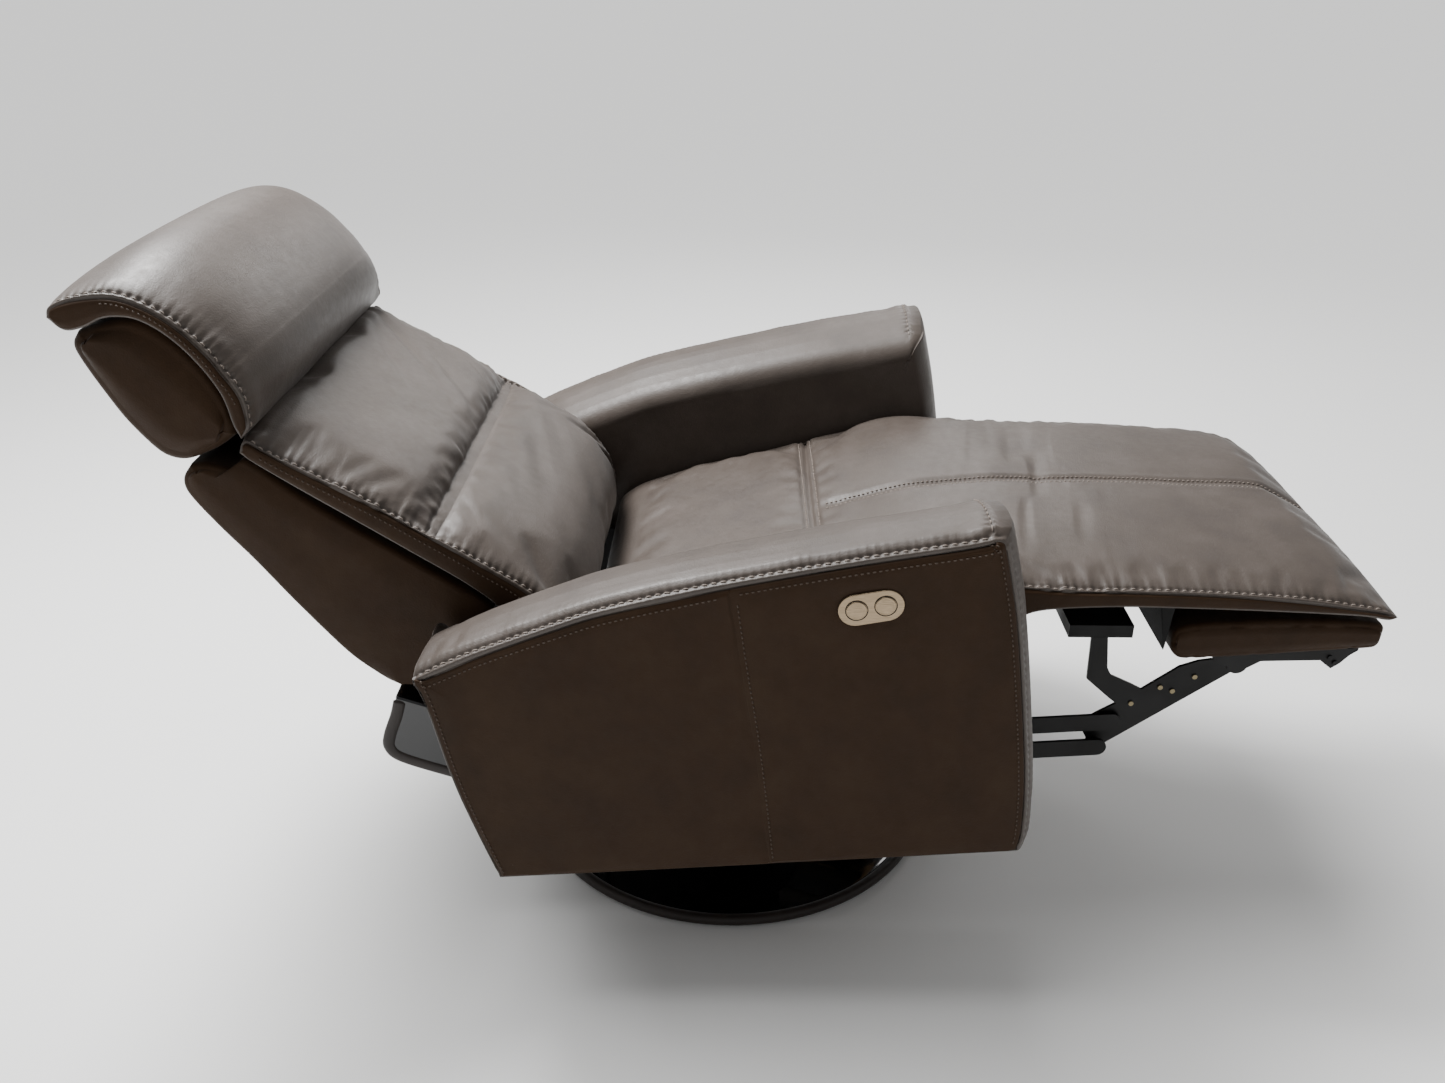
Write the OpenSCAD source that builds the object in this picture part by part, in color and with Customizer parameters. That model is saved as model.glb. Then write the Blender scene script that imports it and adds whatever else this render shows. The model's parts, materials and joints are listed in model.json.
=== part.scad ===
// Power recliner armchair, shown fully reclined, on a round swivel base.
// X runs across the chair, -Y points forward and Z points up.
// The origin is on the floor, on the swivel axis.
// Side outlines are written as [forward, up] and swept along X.

/* [Overall] */
// Overall width across the two arms
chair_w = 800; // [790:2:810]
// Width of each arm
arm_w = 132; // [128:1:134]
// Gap between the cushions and each arm
side_gap = 7; // [6:1:8]

/* [Base] */
// Radius of the round base plate
base_r = 278; // [265:1:300]
// Thickness of the felt pad under the base plate
felt_t = 4; // [3:1:5]
// Radius of the swivel column
column_r = 32; // [28:1:34]
// Height of the top of the swivel column
column_top = 150; // [148:1:152]

/* [Mechanism] */
// Thickness of the pressed steel plates and links
plate_t = 4; // [3:0.5:4]
// Width of the flat steel links
link_w = 22; // [18:1:24]
// Radius of the link pins
pin_r = 5; // [4:0.5:6]
// Running clearance between a pin and its hole
run_gap = 0.05; // [0.02:0.01:0.1]
// Radius of the cross tubes
tube_r = 12; // [10:1:13]

/* [Arms] */
// Thickness of the padded panels on the arms
panel_t = 12; // [10:1:12]
// Thickness of the pad on the top of each arm
crest_t = 30; // [26:1:34]
// Centre of the control plate, forward of the swivel axis
control_f = 141; // [120:1:160]
// Height of the centre of the control plate
control_z = 542; // [530:1:550]
// Length of the control plate
control_len = 66; // [60:1:70]
// Height of the control plate
control_h = 35; // [32:1:38]
// Radius of each control button
button_r = 10.5; // [9:0.5:11]

/* [Soft parts] */
// How far the middle of the back cushion stands proud of its edges
back_crown = 12; // [8:1:14]
// How far the middle of the headrest stands proud of its edges
head_crown = 26; // [20:1:30]

/* [Hidden] */

// Colours
LEATHER_TOP = "#6b625d";
LEATHER_SIDE = "#3d3129";
STEEL_BLACK = "#1c1c1e";
GLOSS_BLACK = "#0d0d0f";
STAINLESS = "#b9b7b2";
ZINC = "#a8a48f";
PLYWOOD = "#b58e5e";
WEBBING = "#4a4a48";
NYLON = "#d8d4c8";

$fn = 48;

// Half widths of the layers, from the arms inwards
arm_out = chair_w / 2;
arm_in = arm_out - arm_w;
soft_half = arm_in - side_gap;
shell_t = 7;
bracket_x = arm_in - 17;
plate_x = bracket_x - 6;
lower_link_x = plate_x - 7;
upper_link_x = lower_link_x - 7;
diagonal_x = upper_link_x - 7;
box_half = 240;
between_plates = 2 * plate_x - plate_t;

// Fixed points of the mechanism, [forward, up]
knee_pivot = [370, 485];
toe_pin = [590, 374];
elbow_upper = [456, 292];
elbow_lower = [441, 260];
swing = toe_pin - knee_pivot;
seat_pin_upper = elbow_upper - swing;
seat_pin_lower = elbow_lower - swing;
// Where each link is cranked, behind the front of the arm
crank_upper = [350, 284];
crank_lower = [347, 253];
back_pivot = [-240, 350];
crank_pin = [-220, 287];
motor_pivot = [28, 206];
head_pivot = [-520, 662];
hinge_foot = [-530, 606];
head_arm_tip = [-600, 712];
// Distances of the headrest's hinge plates and arms from the middle
hinge_x = 118;
head_arm_x = hinge_x + 6;
hinge_w = 18;
head_arm_w = 16;
// The motor's linkage is opened at the crank, so its hole is wide enough for the swing
crank_hole_r = 10;
motor_run = crank_pin - motor_pivot;
motor_angle = atan2(motor_run[1], -motor_run[0]);
cross_front = motor_pivot;
cross_rear = [-205, 200];

// ---- outline helpers ----
function held(p, i) = p[max(0, min(len(p) - 1, i))];
function blend_point(a, b, c, d, t) =
  0.5 * (2 * b + (c - a) * t + (2 * a - 5 * b + 4 * c - d) * t * t + (3 * b - a - 3 * c + d) * t * t * t);
// Smooth curve through the points p, with n steps between neighbours
function curve(p, n = 4) = [
  for (i = [0 : len(p) - 2])
    for (k = [0 : n - 1])
      blend_point(held(p, i - 1), held(p, i), held(p, i + 1), held(p, i + 2), k / n),
  p[len(p) - 1]
];
function unit(v) = v / norm(v);
function turned(v) = [-v[1], v[0]];
// Points on an arc about c, from angle a to angle b
function arc(c, r, a, b, n = 8) = [
  for (k = [0 : n]) c + r * [cos(a + (b - a) * k / n), sin(a + (b - a) * k / n)]
];

// Sweep a [forward, up] outline along X, centred on x_mid
module across(x_mid, width) {
  translate([x_mid, 0, 0]) rotate([90, 0, -90])
    linear_extrude(height = width, center = true) children();
}

// A round bar along X at a [forward, up] point
module bar(p, x_mid, length, radius) {
  translate([x_mid, -p[0], p[1]]) rotate([0, 90, 0])
    cylinder(h = length, r = radius, center = true);
}

// A flat link with round ends between two points
module link_shape(a, b, width) {
  side = turned(unit(b - a)) * width / 2;
  polygon([a + side, a - side, b - side, b + side]);
  translate(a) circle(d = width);
  translate(b) circle(d = width);
}

// A flat link with round ends from a to b by way of a bend
module cranked_shape(a, bend, b, width) {
  first = unit(bend - a);
  last = unit(b - bend);
  lean_a = atan2(first[1], first[0]);
  lean_b = atan2(last[1], last[0]);
  corner = (turned(first) + turned(last)) / (1 + first * last) * width / 2;
  polygon(concat(
    arc(a, width / 2, lean_a + 90, lean_a + 270), [bend - corner],
    arc(b, width / 2, lean_b - 90, lean_b + 90), [bend + corner]
  ));
}

module both_sides() {
  children();
  mirror([1, 0, 0]) children();
}

// ---- base ----
module base_felt() {
  color(WEBBING) cylinder(h = felt_t, r = base_r - 8, $fn = 96);
}

module base_plate() {
  color(GLOSS_BLACK) rotate_extrude($fn = 120)
    polygon([
      [0, felt_t], [base_r - 5, felt_t], [base_r, felt_t + 4], [base_r, 14], [base_r - 3, 17],
      [base_r - 10, 17], [base_r - 15, 11], [90, 15], [0, 15]
    ]);
}

module base_column() {
  color(STEEL_BLACK) rotate_extrude($fn = 72)
    polygon([
      [0, 15], [78, 15], [78, 21], [48, 21], [column_r, 34], [column_r, column_top], [0, column_top]
    ]);
}

module base_bolts() {
  color(ZINC) for (k = [0 : 5]) rotate([0, 0, 60 * k + 30]) translate([64, 0, 21]) {
    cylinder(h = 6, d = 13, $fn = 6);
  }
}

// ---- swivel and frame ----
module swivel_bush() {
  color(NYLON) rotate_extrude($fn = 72)
    polygon([
      [column_r + run_gap, 96], [column_r + 4, 96], [column_r + 4, column_top],
      [column_r + run_gap, column_top]
    ]);
}

module swivel_hub() {
  color(STEEL_BLACK) rotate_extrude($fn = 72)
    polygon([
      [column_r + 4, 96], [column_r + 12, 96], [column_r + 14, column_top - 6], [110, column_top],
      [110, column_top + 8], [0, column_top + 8], [0, column_top + 0.3], [column_r + 4, column_top + 0.3]
    ]);
}

module swivel_plate() {
  color(STEEL_BLACK) difference() {
    translate([-185, -75, column_top + 8]) cube([370, 250, 6]);
    for (x = [-150, 150], y = [0, 100]) translate([x, y, column_top]) cylinder(h = 20, r = 18);
  }
}

module base_rails() {
  color(STEEL_BLACK) for (f = [50, -150])
    translate([-plate_x + plate_t / 2, -f - 12, column_top + 14]) difference() {
      cube([2 * plate_x - plate_t, 24, 22]);
      translate([-1, 3, 3]) cube([2 * plate_x, 18, 16]);
    }
}

module cross_tubes() {
  color(STEEL_BLACK) for (p = [cross_front, cross_rear]) difference() {
    bar(p, 0, between_plates, tube_r);
    bar(p, 0, 2 * plate_x, tube_r - 2);
  }
}

module side_plate_shape() {
  difference() {
    polygon(concat(
      [[-238, 160], [72, 160], [80, 215], [165, 292], [252, 345], [252, 420], [212, 422],
       [-130, 288], [-205, 320]],
      [for (a = [30 : 30 : 180]) back_pivot + 23 * [cos(a), sin(a)]],
      [[-263, 250]]
    ));
    polygon([[-150, 185], [-40, 185], [-40, 255], [-110, 262], [-150, 230]]);
    polygon([[0, 225], [60, 235], [130, 300], [110, 330], [10, 290]]);
    translate(back_pivot) circle(r = 11 + run_gap);
    for (p = [seat_pin_upper, seat_pin_lower]) translate(p) circle(r = pin_r);
  }
}

module side_plate() {
  color(STEEL_BLACK) across(plate_x, plate_t) side_plate_shape();
}

module side_plate_left() {
  side_plate();
}

module side_plate_right() {
  mirror([1, 0, 0]) side_plate();
}

// The bottom of the seat cushion, which the wooden rails follow
seat_under = [[-136, 300], [200, 426], [284, 430]];

module seat_rails() {
  color(PLYWOOD) {
    both_sides() across(bracket_x + 3, 14)
      polygon([[-134, 264], [-134, 299], [200, 425], [280, 428], [280, 406], [200, 388]]);
    across(0, between_plates) polygon([[257, 406], [257, 427], [280, 428], [280, 406]]);
    across(0, between_plates) polygon([[-134, 282], [-134, 299], [-112, 307], [-112, 290]]);
  }
}

module seat_webbing() {
  color(WEBBING) for (x = [-176, -88, 0, 88, 176])
    across(x, 50) polygon([[-111, 304], [-111, 307], [196, 423], [256, 426], [256, 423], [196, 420]]);
}

module seat_cushion() {
  top = curve([
    [-136, 378], [-50, 409], [40, 434], [112, 457], [193, 479], [260, 495], [320, 501], [364, 500]
  ], 3);
  tongue_half = diagonal_x + 14;
  color(LEATHER_TOP) {
    across(0, 2 * soft_half)
      polygon(concat(top, [[364, 489], [286, 488], seat_under[2], seat_under[1], seat_under[0]]));
    across(0, 2 * tongue_half)
      polygon([[-136, 374], [-144, 350], [-152, 337], [-204, 321], [-204, 302], [-136, 302]]);
  }
}

// ---- arms ----
arm_top_line = curve([[-323, 450], [-254, 486], [-127, 536], [50, 580], [194, 607], [262, 622]]);
arm_front_line = curve([[262, 622], [287, 528], [304, 425], [319, 320], [321, 262], [317, 232]]);
arm_rear_line = curve([[-254, 188], [-290, 310], [-323, 450]], 3);

module arm_outline() {
  polygon(concat(arm_top_line, arm_front_line, arm_rear_line));
}

// The arm outline moved in from the top, front, rear and bottom
module arm_core_outline() {
  intersection() {
    arm_outline();
    translate([0, -crest_t]) arm_outline();
    translate([-4, 0]) arm_outline();
    translate([panel_t, 10]) arm_outline();
  }
}

module control_pocket(grow) {
  across(-arm_out + 13, 30) translate([control_f, control_z]) rotate(11)
    square([control_len - 12 + grow, control_h - 9 + grow], center = true);
}

module arm_frame() {
  color(PLYWOOD) across(-(arm_in + arm_out) / 2, arm_w - 2 * panel_t - 0.4) arm_core_outline();
}

module arm_frame_right() {
  difference() {
    arm_frame();
    control_pocket(2);
  }
}

module arm_frame_left() {
  mirror([1, 0, 0]) arm_frame();
}

// The padded side panel lies below the top pad
module arm_side_panel() {
  color(LEATHER_SIDE) across(-arm_out + panel_t / 2, panel_t) intersection() {
    arm_outline();
    translate([0, -crest_t]) arm_outline_open();
  }
}

// The arm outline carried far down, so that only its top edge cuts
module arm_outline_open() {
  polygon(concat(
    [[-600, -200], [-600, arm_top_line[0][1] - 140]], arm_top_line,
    [[600, 710], [600, -200]]
  ));
}

module arm_side_right() {
  difference() {
    arm_side_panel();
    control_pocket(2);
  }
}

module arm_side_left() {
  mirror([1, 0, 0]) arm_side_panel();
}

module arm_top() {
  color(LEATHER_TOP) across(-(arm_in + arm_out) / 2, arm_w) difference() {
    arm_outline();
    translate([0, -crest_t]) arm_outline_open();
  }
}

module arm_top_right() {
  arm_top();
}

module arm_top_left() {
  mirror([1, 0, 0]) arm_top();
}

module arm_inner() {
  color(LEATHER_TOP) across(-arm_in - panel_t / 2, panel_t) intersection() {
    arm_outline();
    translate([0, -crest_t]) arm_outline_open();
  }
}

module arm_inner_right() {
  arm_inner();
}

module arm_inner_left() {
  mirror([1, 0, 0]) arm_inner();
}

module arm_front() {
  color(LEATHER_TOP) across(-(arm_in + arm_out) / 2, arm_w) {
    face = [for (p = arm_front_line) if (p[1] > 232) p];
    polygon(concat(
      [for (p = face) p + [0.3, 0]],
      [for (k = [len(face) - 1 : -1 : 0]) face[k] + [14, 0]]
    ));
  }
}

module arm_front_right() {
  arm_front();
}

module arm_front_left() {
  mirror([1, 0, 0]) arm_front();
}

// Spacers that bolt each arm to the seat rail
module arm_spacers() {
  gap = arm_in - bracket_x - 10;
  color(ZINC) both_sides() for (p = [[-90, 296], [40, 345], [150, 386]])
    bar(p, arm_in - gap / 2, gap, 12);
}

// ---- controls in the right arm ----
button_place = [for (k = [-1, 1]) [control_f, control_z] + 14.5 * k * [cos(11), sin(11)]];

module control_housing() {
  color(STEEL_BLACK) difference() {
    intersection() {
      control_pocket(0);
      translate([-arm_out + 0.1, -1000, 0]) cube([26, 2000, 1000]);
    }
    for (p = button_place) bar(p, -arm_out, 14, button_r + 0.6);
  }
}

module control_plate() {
  color(STAINLESS) difference() {
    across(-arm_out - 1.5, 3) translate([control_f, control_z]) rotate(11) {
      square([control_len - control_h, control_h], center = true);
      for (k = [-1, 1]) translate([k * (control_len - control_h) / 2, 0]) circle(d = control_h);
    }
    for (p = button_place) bar(p, -arm_out, 20, button_r + 0.6);
  }
}

module control_button(p) {
  color(STAINLESS) {
    bar(p, -arm_out - 1, 9, button_r);
    bar(p, -arm_out - 5.9, 1, button_r - 1);
  }
}

module button_open() {
  control_button(button_place[1]);
}

module button_close() {
  control_button(button_place[0]);
}

// ---- rear shroud ----
shroud_out = [[-300, 212], [-345, 226], [-398, 246], [-412, 262], [-409, 280], [-398, 308], [-390, 338]];

module rear_shroud() {
  shroud_half = bracket_x + 8;
  outer = curve(shroud_out, 3);
  color(GLOSS_BLACK) {
    both_sides() across(shroud_half - 2, 4) polygon(concat(outer, [[-345, 322], [-300, 300]]));
    across(0, 2 * shroud_half) polygon(concat(
      outer, [for (k = [len(outer) - 1 : -1 : 0]) outer[k] + [3.5, 3.5]]
    ));
  }
}

module shroud_brackets() {
  color(STEEL_BLACK) both_sides() across(bracket_x, 8)
    polygon([[-250, 240], [-325, 245], [-325, 268], [-250, 262]]);
}

// ---- link pins ----
// A headed pin whose head lies inside the inner layer, and whose end is flush outside
module link_pin(p, inner_x, outer_x) {
  head_t = 1.8;
  length = outer_x - inner_x + plate_t + 0.2;
  bar(p, outer_x + plate_t / 2 - length / 2, length, pin_r);
  bar(p, outer_x + plate_t / 2 - length - head_t / 2, head_t, pin_r + 3.5);
}

// The pins held by the side plates
module link_pins() {
  color(ZINC) both_sides() {
    link_pin(seat_pin_upper, upper_link_x, plate_x);
    link_pin(seat_pin_lower, lower_link_x, plate_x);
  }
}

// ---- back ----
back_dir = [-0.84, 0.54];
back_out = [0.54, 0.84];

module back_shaft() {
  color(STEEL_BLACK) {
    bar(back_pivot, 0, 2 * bracket_x + plate_t, 11);
    for (x = [-16, 16]) across(x, 8) difference() {
      link_shape(back_pivot, crank_pin, 30);
      translate(crank_pin) circle(r = crank_hole_r);
      translate(back_pivot) circle(r = 10);
    }
  }
}

module back_brackets() {
  color(STEEL_BLACK) both_sides() across(bracket_x, plate_t) difference() {
    union() {
      link_shape(back_pivot, back_pivot + 60 * back_dir + [-20, 10], 40);
      link_shape(back_pivot + 60 * back_dir + [-20, 10], back_pivot + 190 * back_dir + [-20, 5], 34);
    }
    translate(back_pivot) circle(r = 11);
  }
}

frame_low = back_pivot + 62 * back_dir + [-24, 6];
frame_high = [-548, 600];
frame_run = unit(frame_high - frame_low);
frame_side = turned(frame_run) * 12;

// Two stiles and two cross rails, a hair apart so that each is its own bar
module back_frame() {
  half = bracket_x - 4;
  stile_w = 24;
  rail = 26 * frame_run;
  color(PLYWOOD) difference() {
    union() {
      both_sides() across(half - 1 - stile_w / 2, stile_w) polygon([
        frame_low + frame_side, frame_low - frame_side,
        frame_high - frame_side, frame_high + frame_side
      ]);
      across(0, 2 * (half - 1 - stile_w) - 0.4) for (t = [0.05, 0.87]) {
        p = frame_low + t * (frame_high - frame_low);
        polygon([p + frame_side, p - frame_side, p - frame_side + rail, p + frame_side + rail]);
      }
    }
    both_sides() across(hinge_x, plate_t + 0.2)
      link_shape(hinge_foot, head_pivot, hinge_w + 0.4);
  }
}

module back_webbing() {
  strap = -2.5 * unit(frame_side);
  color(WEBBING) for (t = [0.2 : 0.15 : 0.82]) across(0, between_plates - 48) {
    p = frame_low + t * (frame_high - frame_low) - frame_side;
    polygon([p, p + strap, p + strap + 34 * frame_run, p + 34 * frame_run]);
  }
}

shell_front = [[-520, 634], [-471, 598], [-435, 571], [-363, 524], [-290, 474], [-268, 452]];
shell_rear = [
  [-391, 350], [-443, 397], [-487, 453], [-531, 515], [-574, 574], [-590, 603], [-582, 625], [-550, 627]
];

module back_shell() {
  color(LEATHER_SIDE) {
    both_sides() across(soft_half - shell_t / 2 + 1, shell_t)
      polygon(concat(shell_front, [[-290, 395], [-340, 346]], shell_rear));
    across(0, 2 * soft_half) polygon(concat(
      shell_rear,
      [for (k = [len(shell_rear) - 1 : -1 : 0]) shell_rear[k] + (k > 5 ? [3, -7] : [6, 5])]
    ));
  }
}

cushion_front = [
  [-506, 650], [-465, 627], [-416, 599], [-333, 549], [-279, 517],
  [-227, 479], [-198, 446], [-181, 416], [-178, 388]
];

module back_cushion() {
  behind = [
    [-214, 368], [-228, 392], [-246, 440], [-285, 478],
    [-358, 527], [-430, 574], [-466, 601], [-515, 638]
  ];
  middle = [for (k = [1 : len(cushion_front) - 1]) cushion_front[k]];
  color(LEATHER_TOP) {
    across(0, 2 * soft_half) polygon(concat(cushion_front, behind));
    across(0, 2 * soft_half - 90) polygon(concat(
      [for (p = middle) p + back_crown * back_out],
      [for (k = [len(middle) - 1 : -1 : 0]) middle[k]]
    ));
  }
}

// ---- headrest ----
head_front = curve([
  [-507, 670], [-506, 690], [-521, 731], [-556, 774], [-601, 800], [-645, 803], [-683, 793]
]);
head_inner = curve([
  [-660, 773], [-631, 788], [-596, 785], [-559, 754], [-530, 708], [-519, 682]
]);
head_gusset = curve([
  [-519, 672], [-524, 658], [-556, 641], [-586, 632], [-603, 635], [-643, 695], [-668, 755], [-662, 770]
], 3);

module headrest_hinge_plates() {
  color(STEEL_BLACK) both_sides() {
    across(hinge_x, plate_t) difference() {
      link_shape(hinge_foot, head_pivot, hinge_w);
      translate(head_pivot) circle(r = 4);
    }
    bar(head_pivot, hinge_x + 4, 12, 4);
  }
}

module headrest_arms() {
  color(STEEL_BLACK) both_sides() across(head_arm_x, plate_t) difference() {
    link_shape(head_pivot, head_arm_tip, head_arm_w);
    translate(head_pivot) circle(r = 4 + run_gap);
  }
}

module headrest_slots() {
  both_sides() across((hinge_x + head_arm_x) / 2, 16) {
    translate(head_pivot) circle(r = 13);
    link_shape(head_pivot, head_pivot + [2, -60], 24);
  }
}

module headrest_core() {
  color(LEATHER_SIDE) difference() {
    across(0, 2 * soft_half - 16) polygon(concat(head_inner, head_gusset));
    headrest_slots();
    both_sides() across(head_arm_x, plate_t) link_shape(head_pivot, head_arm_tip, head_arm_w);
  }
}

module headrest_pad() {
  crown_centre = [-590, 715];
  crown = 1 + head_crown / 90;
  tail = [[-680, 779], [-670, 774.5]];
  inner_back = [for (k = [0 : len(head_inner) - 1]) head_inner[k] + [0.5, 0.8]];
  color(LEATHER_TOP) difference() {
    union() {
      across(0, 2 * soft_half) polygon(concat(head_front, tail, inner_back));
      across(0, 2 * soft_half - 80) polygon(concat(
        [for (k = [3 : len(head_front) - 2]) crown_centre + (head_front[k] - crown_centre) * crown],
        [for (k = [len(head_front) - 2 : -1 : 3]) head_front[k]]
      ));
    }
    headrest_slots();
  }
}

// ---- footrest ----
module footrest_box() {
  color(LEATHER_SIDE) across(0, 2 * box_half) polygon([
    [508, 392], [522, 383], [740, 399], [745, 405], [745, 433], [740, 443], [515, 443], [508, 430]
  ]);
}

module footrest_pad() {
  color(LEATHER_TOP) across(0, 2 * soft_half) polygon(concat(
    curve([[372, 500], [475, 500], [578, 499], [655, 495], [712, 487], [740, 470], [744, 458]], 2),
    [[738, 444], [506, 444], [490, 455], [372, 455]]
  ));
}

// Under the box, a flange and an upright plate with the toe pin and a hooked front end
module footrest_brackets() {
  slope = unit([218, 16]);
  start = [560, 382.6];
  tip = start + 165 * slope;
  color(STEEL_BLACK) both_sides() {
    across(upper_link_x - 12, 28) polygon([start, tip, tip + [0, 3], start + [0, 3]]);
    across(upper_link_x, plate_t) {
      polygon([
        start, tip, [716, 388], [707, 377], [698, 370], [690, 376], [684, 381], [616, 379],
        toe_pin + [9, -6], toe_pin + [-16, -2]
      ]);
      translate(toe_pin) circle(r = 12);
    }
    link_pin(toe_pin, diagonal_x, upper_link_x);
    for (p = [[694, 385], [701, 378]]) bar(p, upper_link_x + 3, 2, 3);
  }
}

// ---- links ----
// A cranked flat bar with a running hole at its first end
module link_bar(a, bend, b, x_mid) {
  across(x_mid, plate_t) difference() {
    cranked_shape(a, bend, b, link_w);
    translate(a) circle(r = pin_r + run_gap);
  }
}

module upper_links() {
  color(STEEL_BLACK) both_sides() {
    link_bar(seat_pin_upper, crank_upper, elbow_upper, upper_link_x);
    link_pin(elbow_upper, diagonal_x, upper_link_x);
  }
}

module lower_links() {
  color(STEEL_BLACK) both_sides() {
    link_bar(seat_pin_lower, crank_lower, elbow_lower, lower_link_x);
    link_pin(elbow_lower, diagonal_x, lower_link_x);
  }
}

// The bar from the elbow to the toe, with the bent arm that carries the middle board
module diagonal_links() {
  open_gap = 0.6;
  end_r = 10;
  lean = atan2(toe_pin[1] - elbow_lower[1], toe_pin[0] - elbow_lower[0]);
  outline = concat(
    arc(toe_pin, end_r, lean - 90, lean + 60),
    [[566, 377], [548, 374], [527, 366], [487, 334], [474, 341], [449, 353], [443, 364]],
    [[438, 404.8], [419, 404.8], [421, 348], [450, 322], [460, 314], [440, 301], [419, 285]],
    arc(elbow_lower, end_r, 165, lean + 270)
  );
  color(STEEL_BLACK) both_sides() across(diagonal_x, plate_t) difference() {
    polygon(outline);
    translate(elbow_upper) circle(r = pin_r + open_gap);
    translate(elbow_lower) circle(r = pin_r + open_gap);
    translate(toe_pin) circle(r = pin_r + run_gap);
  }
}

module link_rivets() {
  color(ZINC) both_sides() for (p = [[433, 279], [477, 315], [508, 338], [523, 333], [546, 353]])
    bar(p, diagonal_x + 3, 2, 3);
}

module middle_board() {
  color(STEEL_BLACK) across(0, 2 * diagonal_x + plate_t)
    polygon([[392, 405], [466, 405], [466, 421], [392, 421]]);
}

// ---- motor ----
module motor_housing() {
  color(STEEL_BLACK) translate([0, -motor_pivot[0], motor_pivot[1]]) rotate([motor_angle - 90, 0, 0])
    difference() {
      union() {
        translate([0, 0, 8]) cylinder(h = 172, r = 17);
        translate([0, 0, 14]) cylinder(h = 42, r = 26);
        translate([46, 0, 38]) rotate([0, 90, 0]) cylinder(h = 84, r = 21, center = true);
        rotate([0, 90, 0]) cylinder(h = 36, r = tube_r + 7, center = true);
      }
      rotate([0, 90, 0]) cylinder(h = 300, r = tube_r + run_gap, center = true);
      translate([0, 0, 40]) cylinder(h = 160, r = 10.5);
    }
}

module motor_screw_rod() {
  reach = norm(motor_run);
  color(ZINC) translate([0, -motor_pivot[0], motor_pivot[1]]) rotate([motor_angle - 90, 0, 0]) {
    translate([0, 0, 60]) cylinder(h = reach - 60, r = 10);
    translate([0, 0, reach]) rotate([0, 90, 0]) cylinder(h = 20, r = 12, center = true);
    translate([0, 0, reach]) rotate([0, 90, 0]) cylinder(h = 42, r = 5, center = true);
  }
}

base_felt();
base_plate();
base_column();
base_bolts();
swivel_bush();
swivel_hub();
swivel_plate();
base_rails();
cross_tubes();
side_plate_right();
side_plate_left();
seat_rails();
seat_webbing();
seat_cushion();
arm_frame_right();
arm_frame_left();
arm_side_right();
arm_side_left();
arm_top_right();
arm_top_left();
arm_inner_right();
arm_inner_left();
arm_front_right();
arm_front_left();
arm_spacers();
shroud_brackets();
rear_shroud();
control_housing();
control_plate();
button_open();
button_close();
link_pins();
back_shaft();
back_brackets();
back_frame();
back_webbing();
back_shell();
back_cushion();
headrest_hinge_plates();
headrest_arms();
headrest_core();
headrest_pad();
footrest_box();
footrest_pad();
footrest_brackets();
upper_links();
lower_links();
diagonal_links();
link_rivets();
middle_board();
motor_housing();
motor_screw_rod();
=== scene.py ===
"""Power recliner armchair: leather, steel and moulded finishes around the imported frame.

Side outlines are lists of [forward, up] in millimetres; forward is -Y and up is +Z.
"""
import json
import math

import bmesh
import bpy
import numpy as np
from mathutils import Matrix, Vector


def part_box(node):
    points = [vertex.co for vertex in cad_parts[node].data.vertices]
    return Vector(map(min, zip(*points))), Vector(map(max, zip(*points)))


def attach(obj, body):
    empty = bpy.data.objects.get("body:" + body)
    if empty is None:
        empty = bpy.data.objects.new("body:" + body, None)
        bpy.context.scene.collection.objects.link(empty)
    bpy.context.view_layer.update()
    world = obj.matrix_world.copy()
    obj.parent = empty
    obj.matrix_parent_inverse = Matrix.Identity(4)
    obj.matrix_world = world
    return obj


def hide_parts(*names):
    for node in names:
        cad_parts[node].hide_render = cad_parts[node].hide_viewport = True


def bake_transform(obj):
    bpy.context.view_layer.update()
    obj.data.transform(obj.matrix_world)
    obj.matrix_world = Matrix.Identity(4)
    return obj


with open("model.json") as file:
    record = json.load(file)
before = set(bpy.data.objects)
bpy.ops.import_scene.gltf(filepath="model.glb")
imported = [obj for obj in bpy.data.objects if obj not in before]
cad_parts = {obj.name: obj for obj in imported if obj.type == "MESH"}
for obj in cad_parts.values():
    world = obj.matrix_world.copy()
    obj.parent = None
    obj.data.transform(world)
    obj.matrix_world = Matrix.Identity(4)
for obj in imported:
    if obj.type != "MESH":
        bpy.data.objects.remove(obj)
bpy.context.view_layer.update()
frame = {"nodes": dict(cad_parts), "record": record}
MM = 0.001

# ---------------------------------------------------------------- sizes, from the frame
seat_lo, seat_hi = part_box("seat_cushion")
arm_lo, arm_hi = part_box("arm_top_right")
plate_lo, plate_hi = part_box("control_plate")
disc_lo, disc_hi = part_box("base_plate")
shroud_lo, shroud_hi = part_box("rear_shroud")
toe_lo, toe_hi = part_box("footrest_box")
core_lo, core_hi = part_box("headrest_core")
SOFT_HALF = seat_hi.x / MM          # half width of the seat, back and headrest
ARM_OUT = -arm_lo.x / MM            # outer face of each arm
ARM_IN = -arm_hi.x / MM             # inner face of each arm
CORE_HALF = core_hi.x / MM          # half width of the headrest's inner pad
TOE_HALF = toe_hi.x / MM            # half width of the footrest box
PLATE_F = -(plate_lo.y + plate_hi.y) / 2 / MM
PLATE_Z = (plate_lo.z + plate_hi.z) / 2 / MM
PLATE_HALF = (33.0, 17.5)           # half length and half height of the control plate

SADDLE_PITCH = 9.5                  # heavy saddle stitching
SADDLE_IN = 6.0                     # distance from its seam to the row of stitches
SADDLE_LONG = 6.2                   # length of one saddle stitch
FINE_PITCH = 6.0                    # twin-needle and edge stitching
FINE_LONG = 3.8                     # length of one fine stitch
THREAD = 0.8                        # radius of the sewing thread

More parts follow.
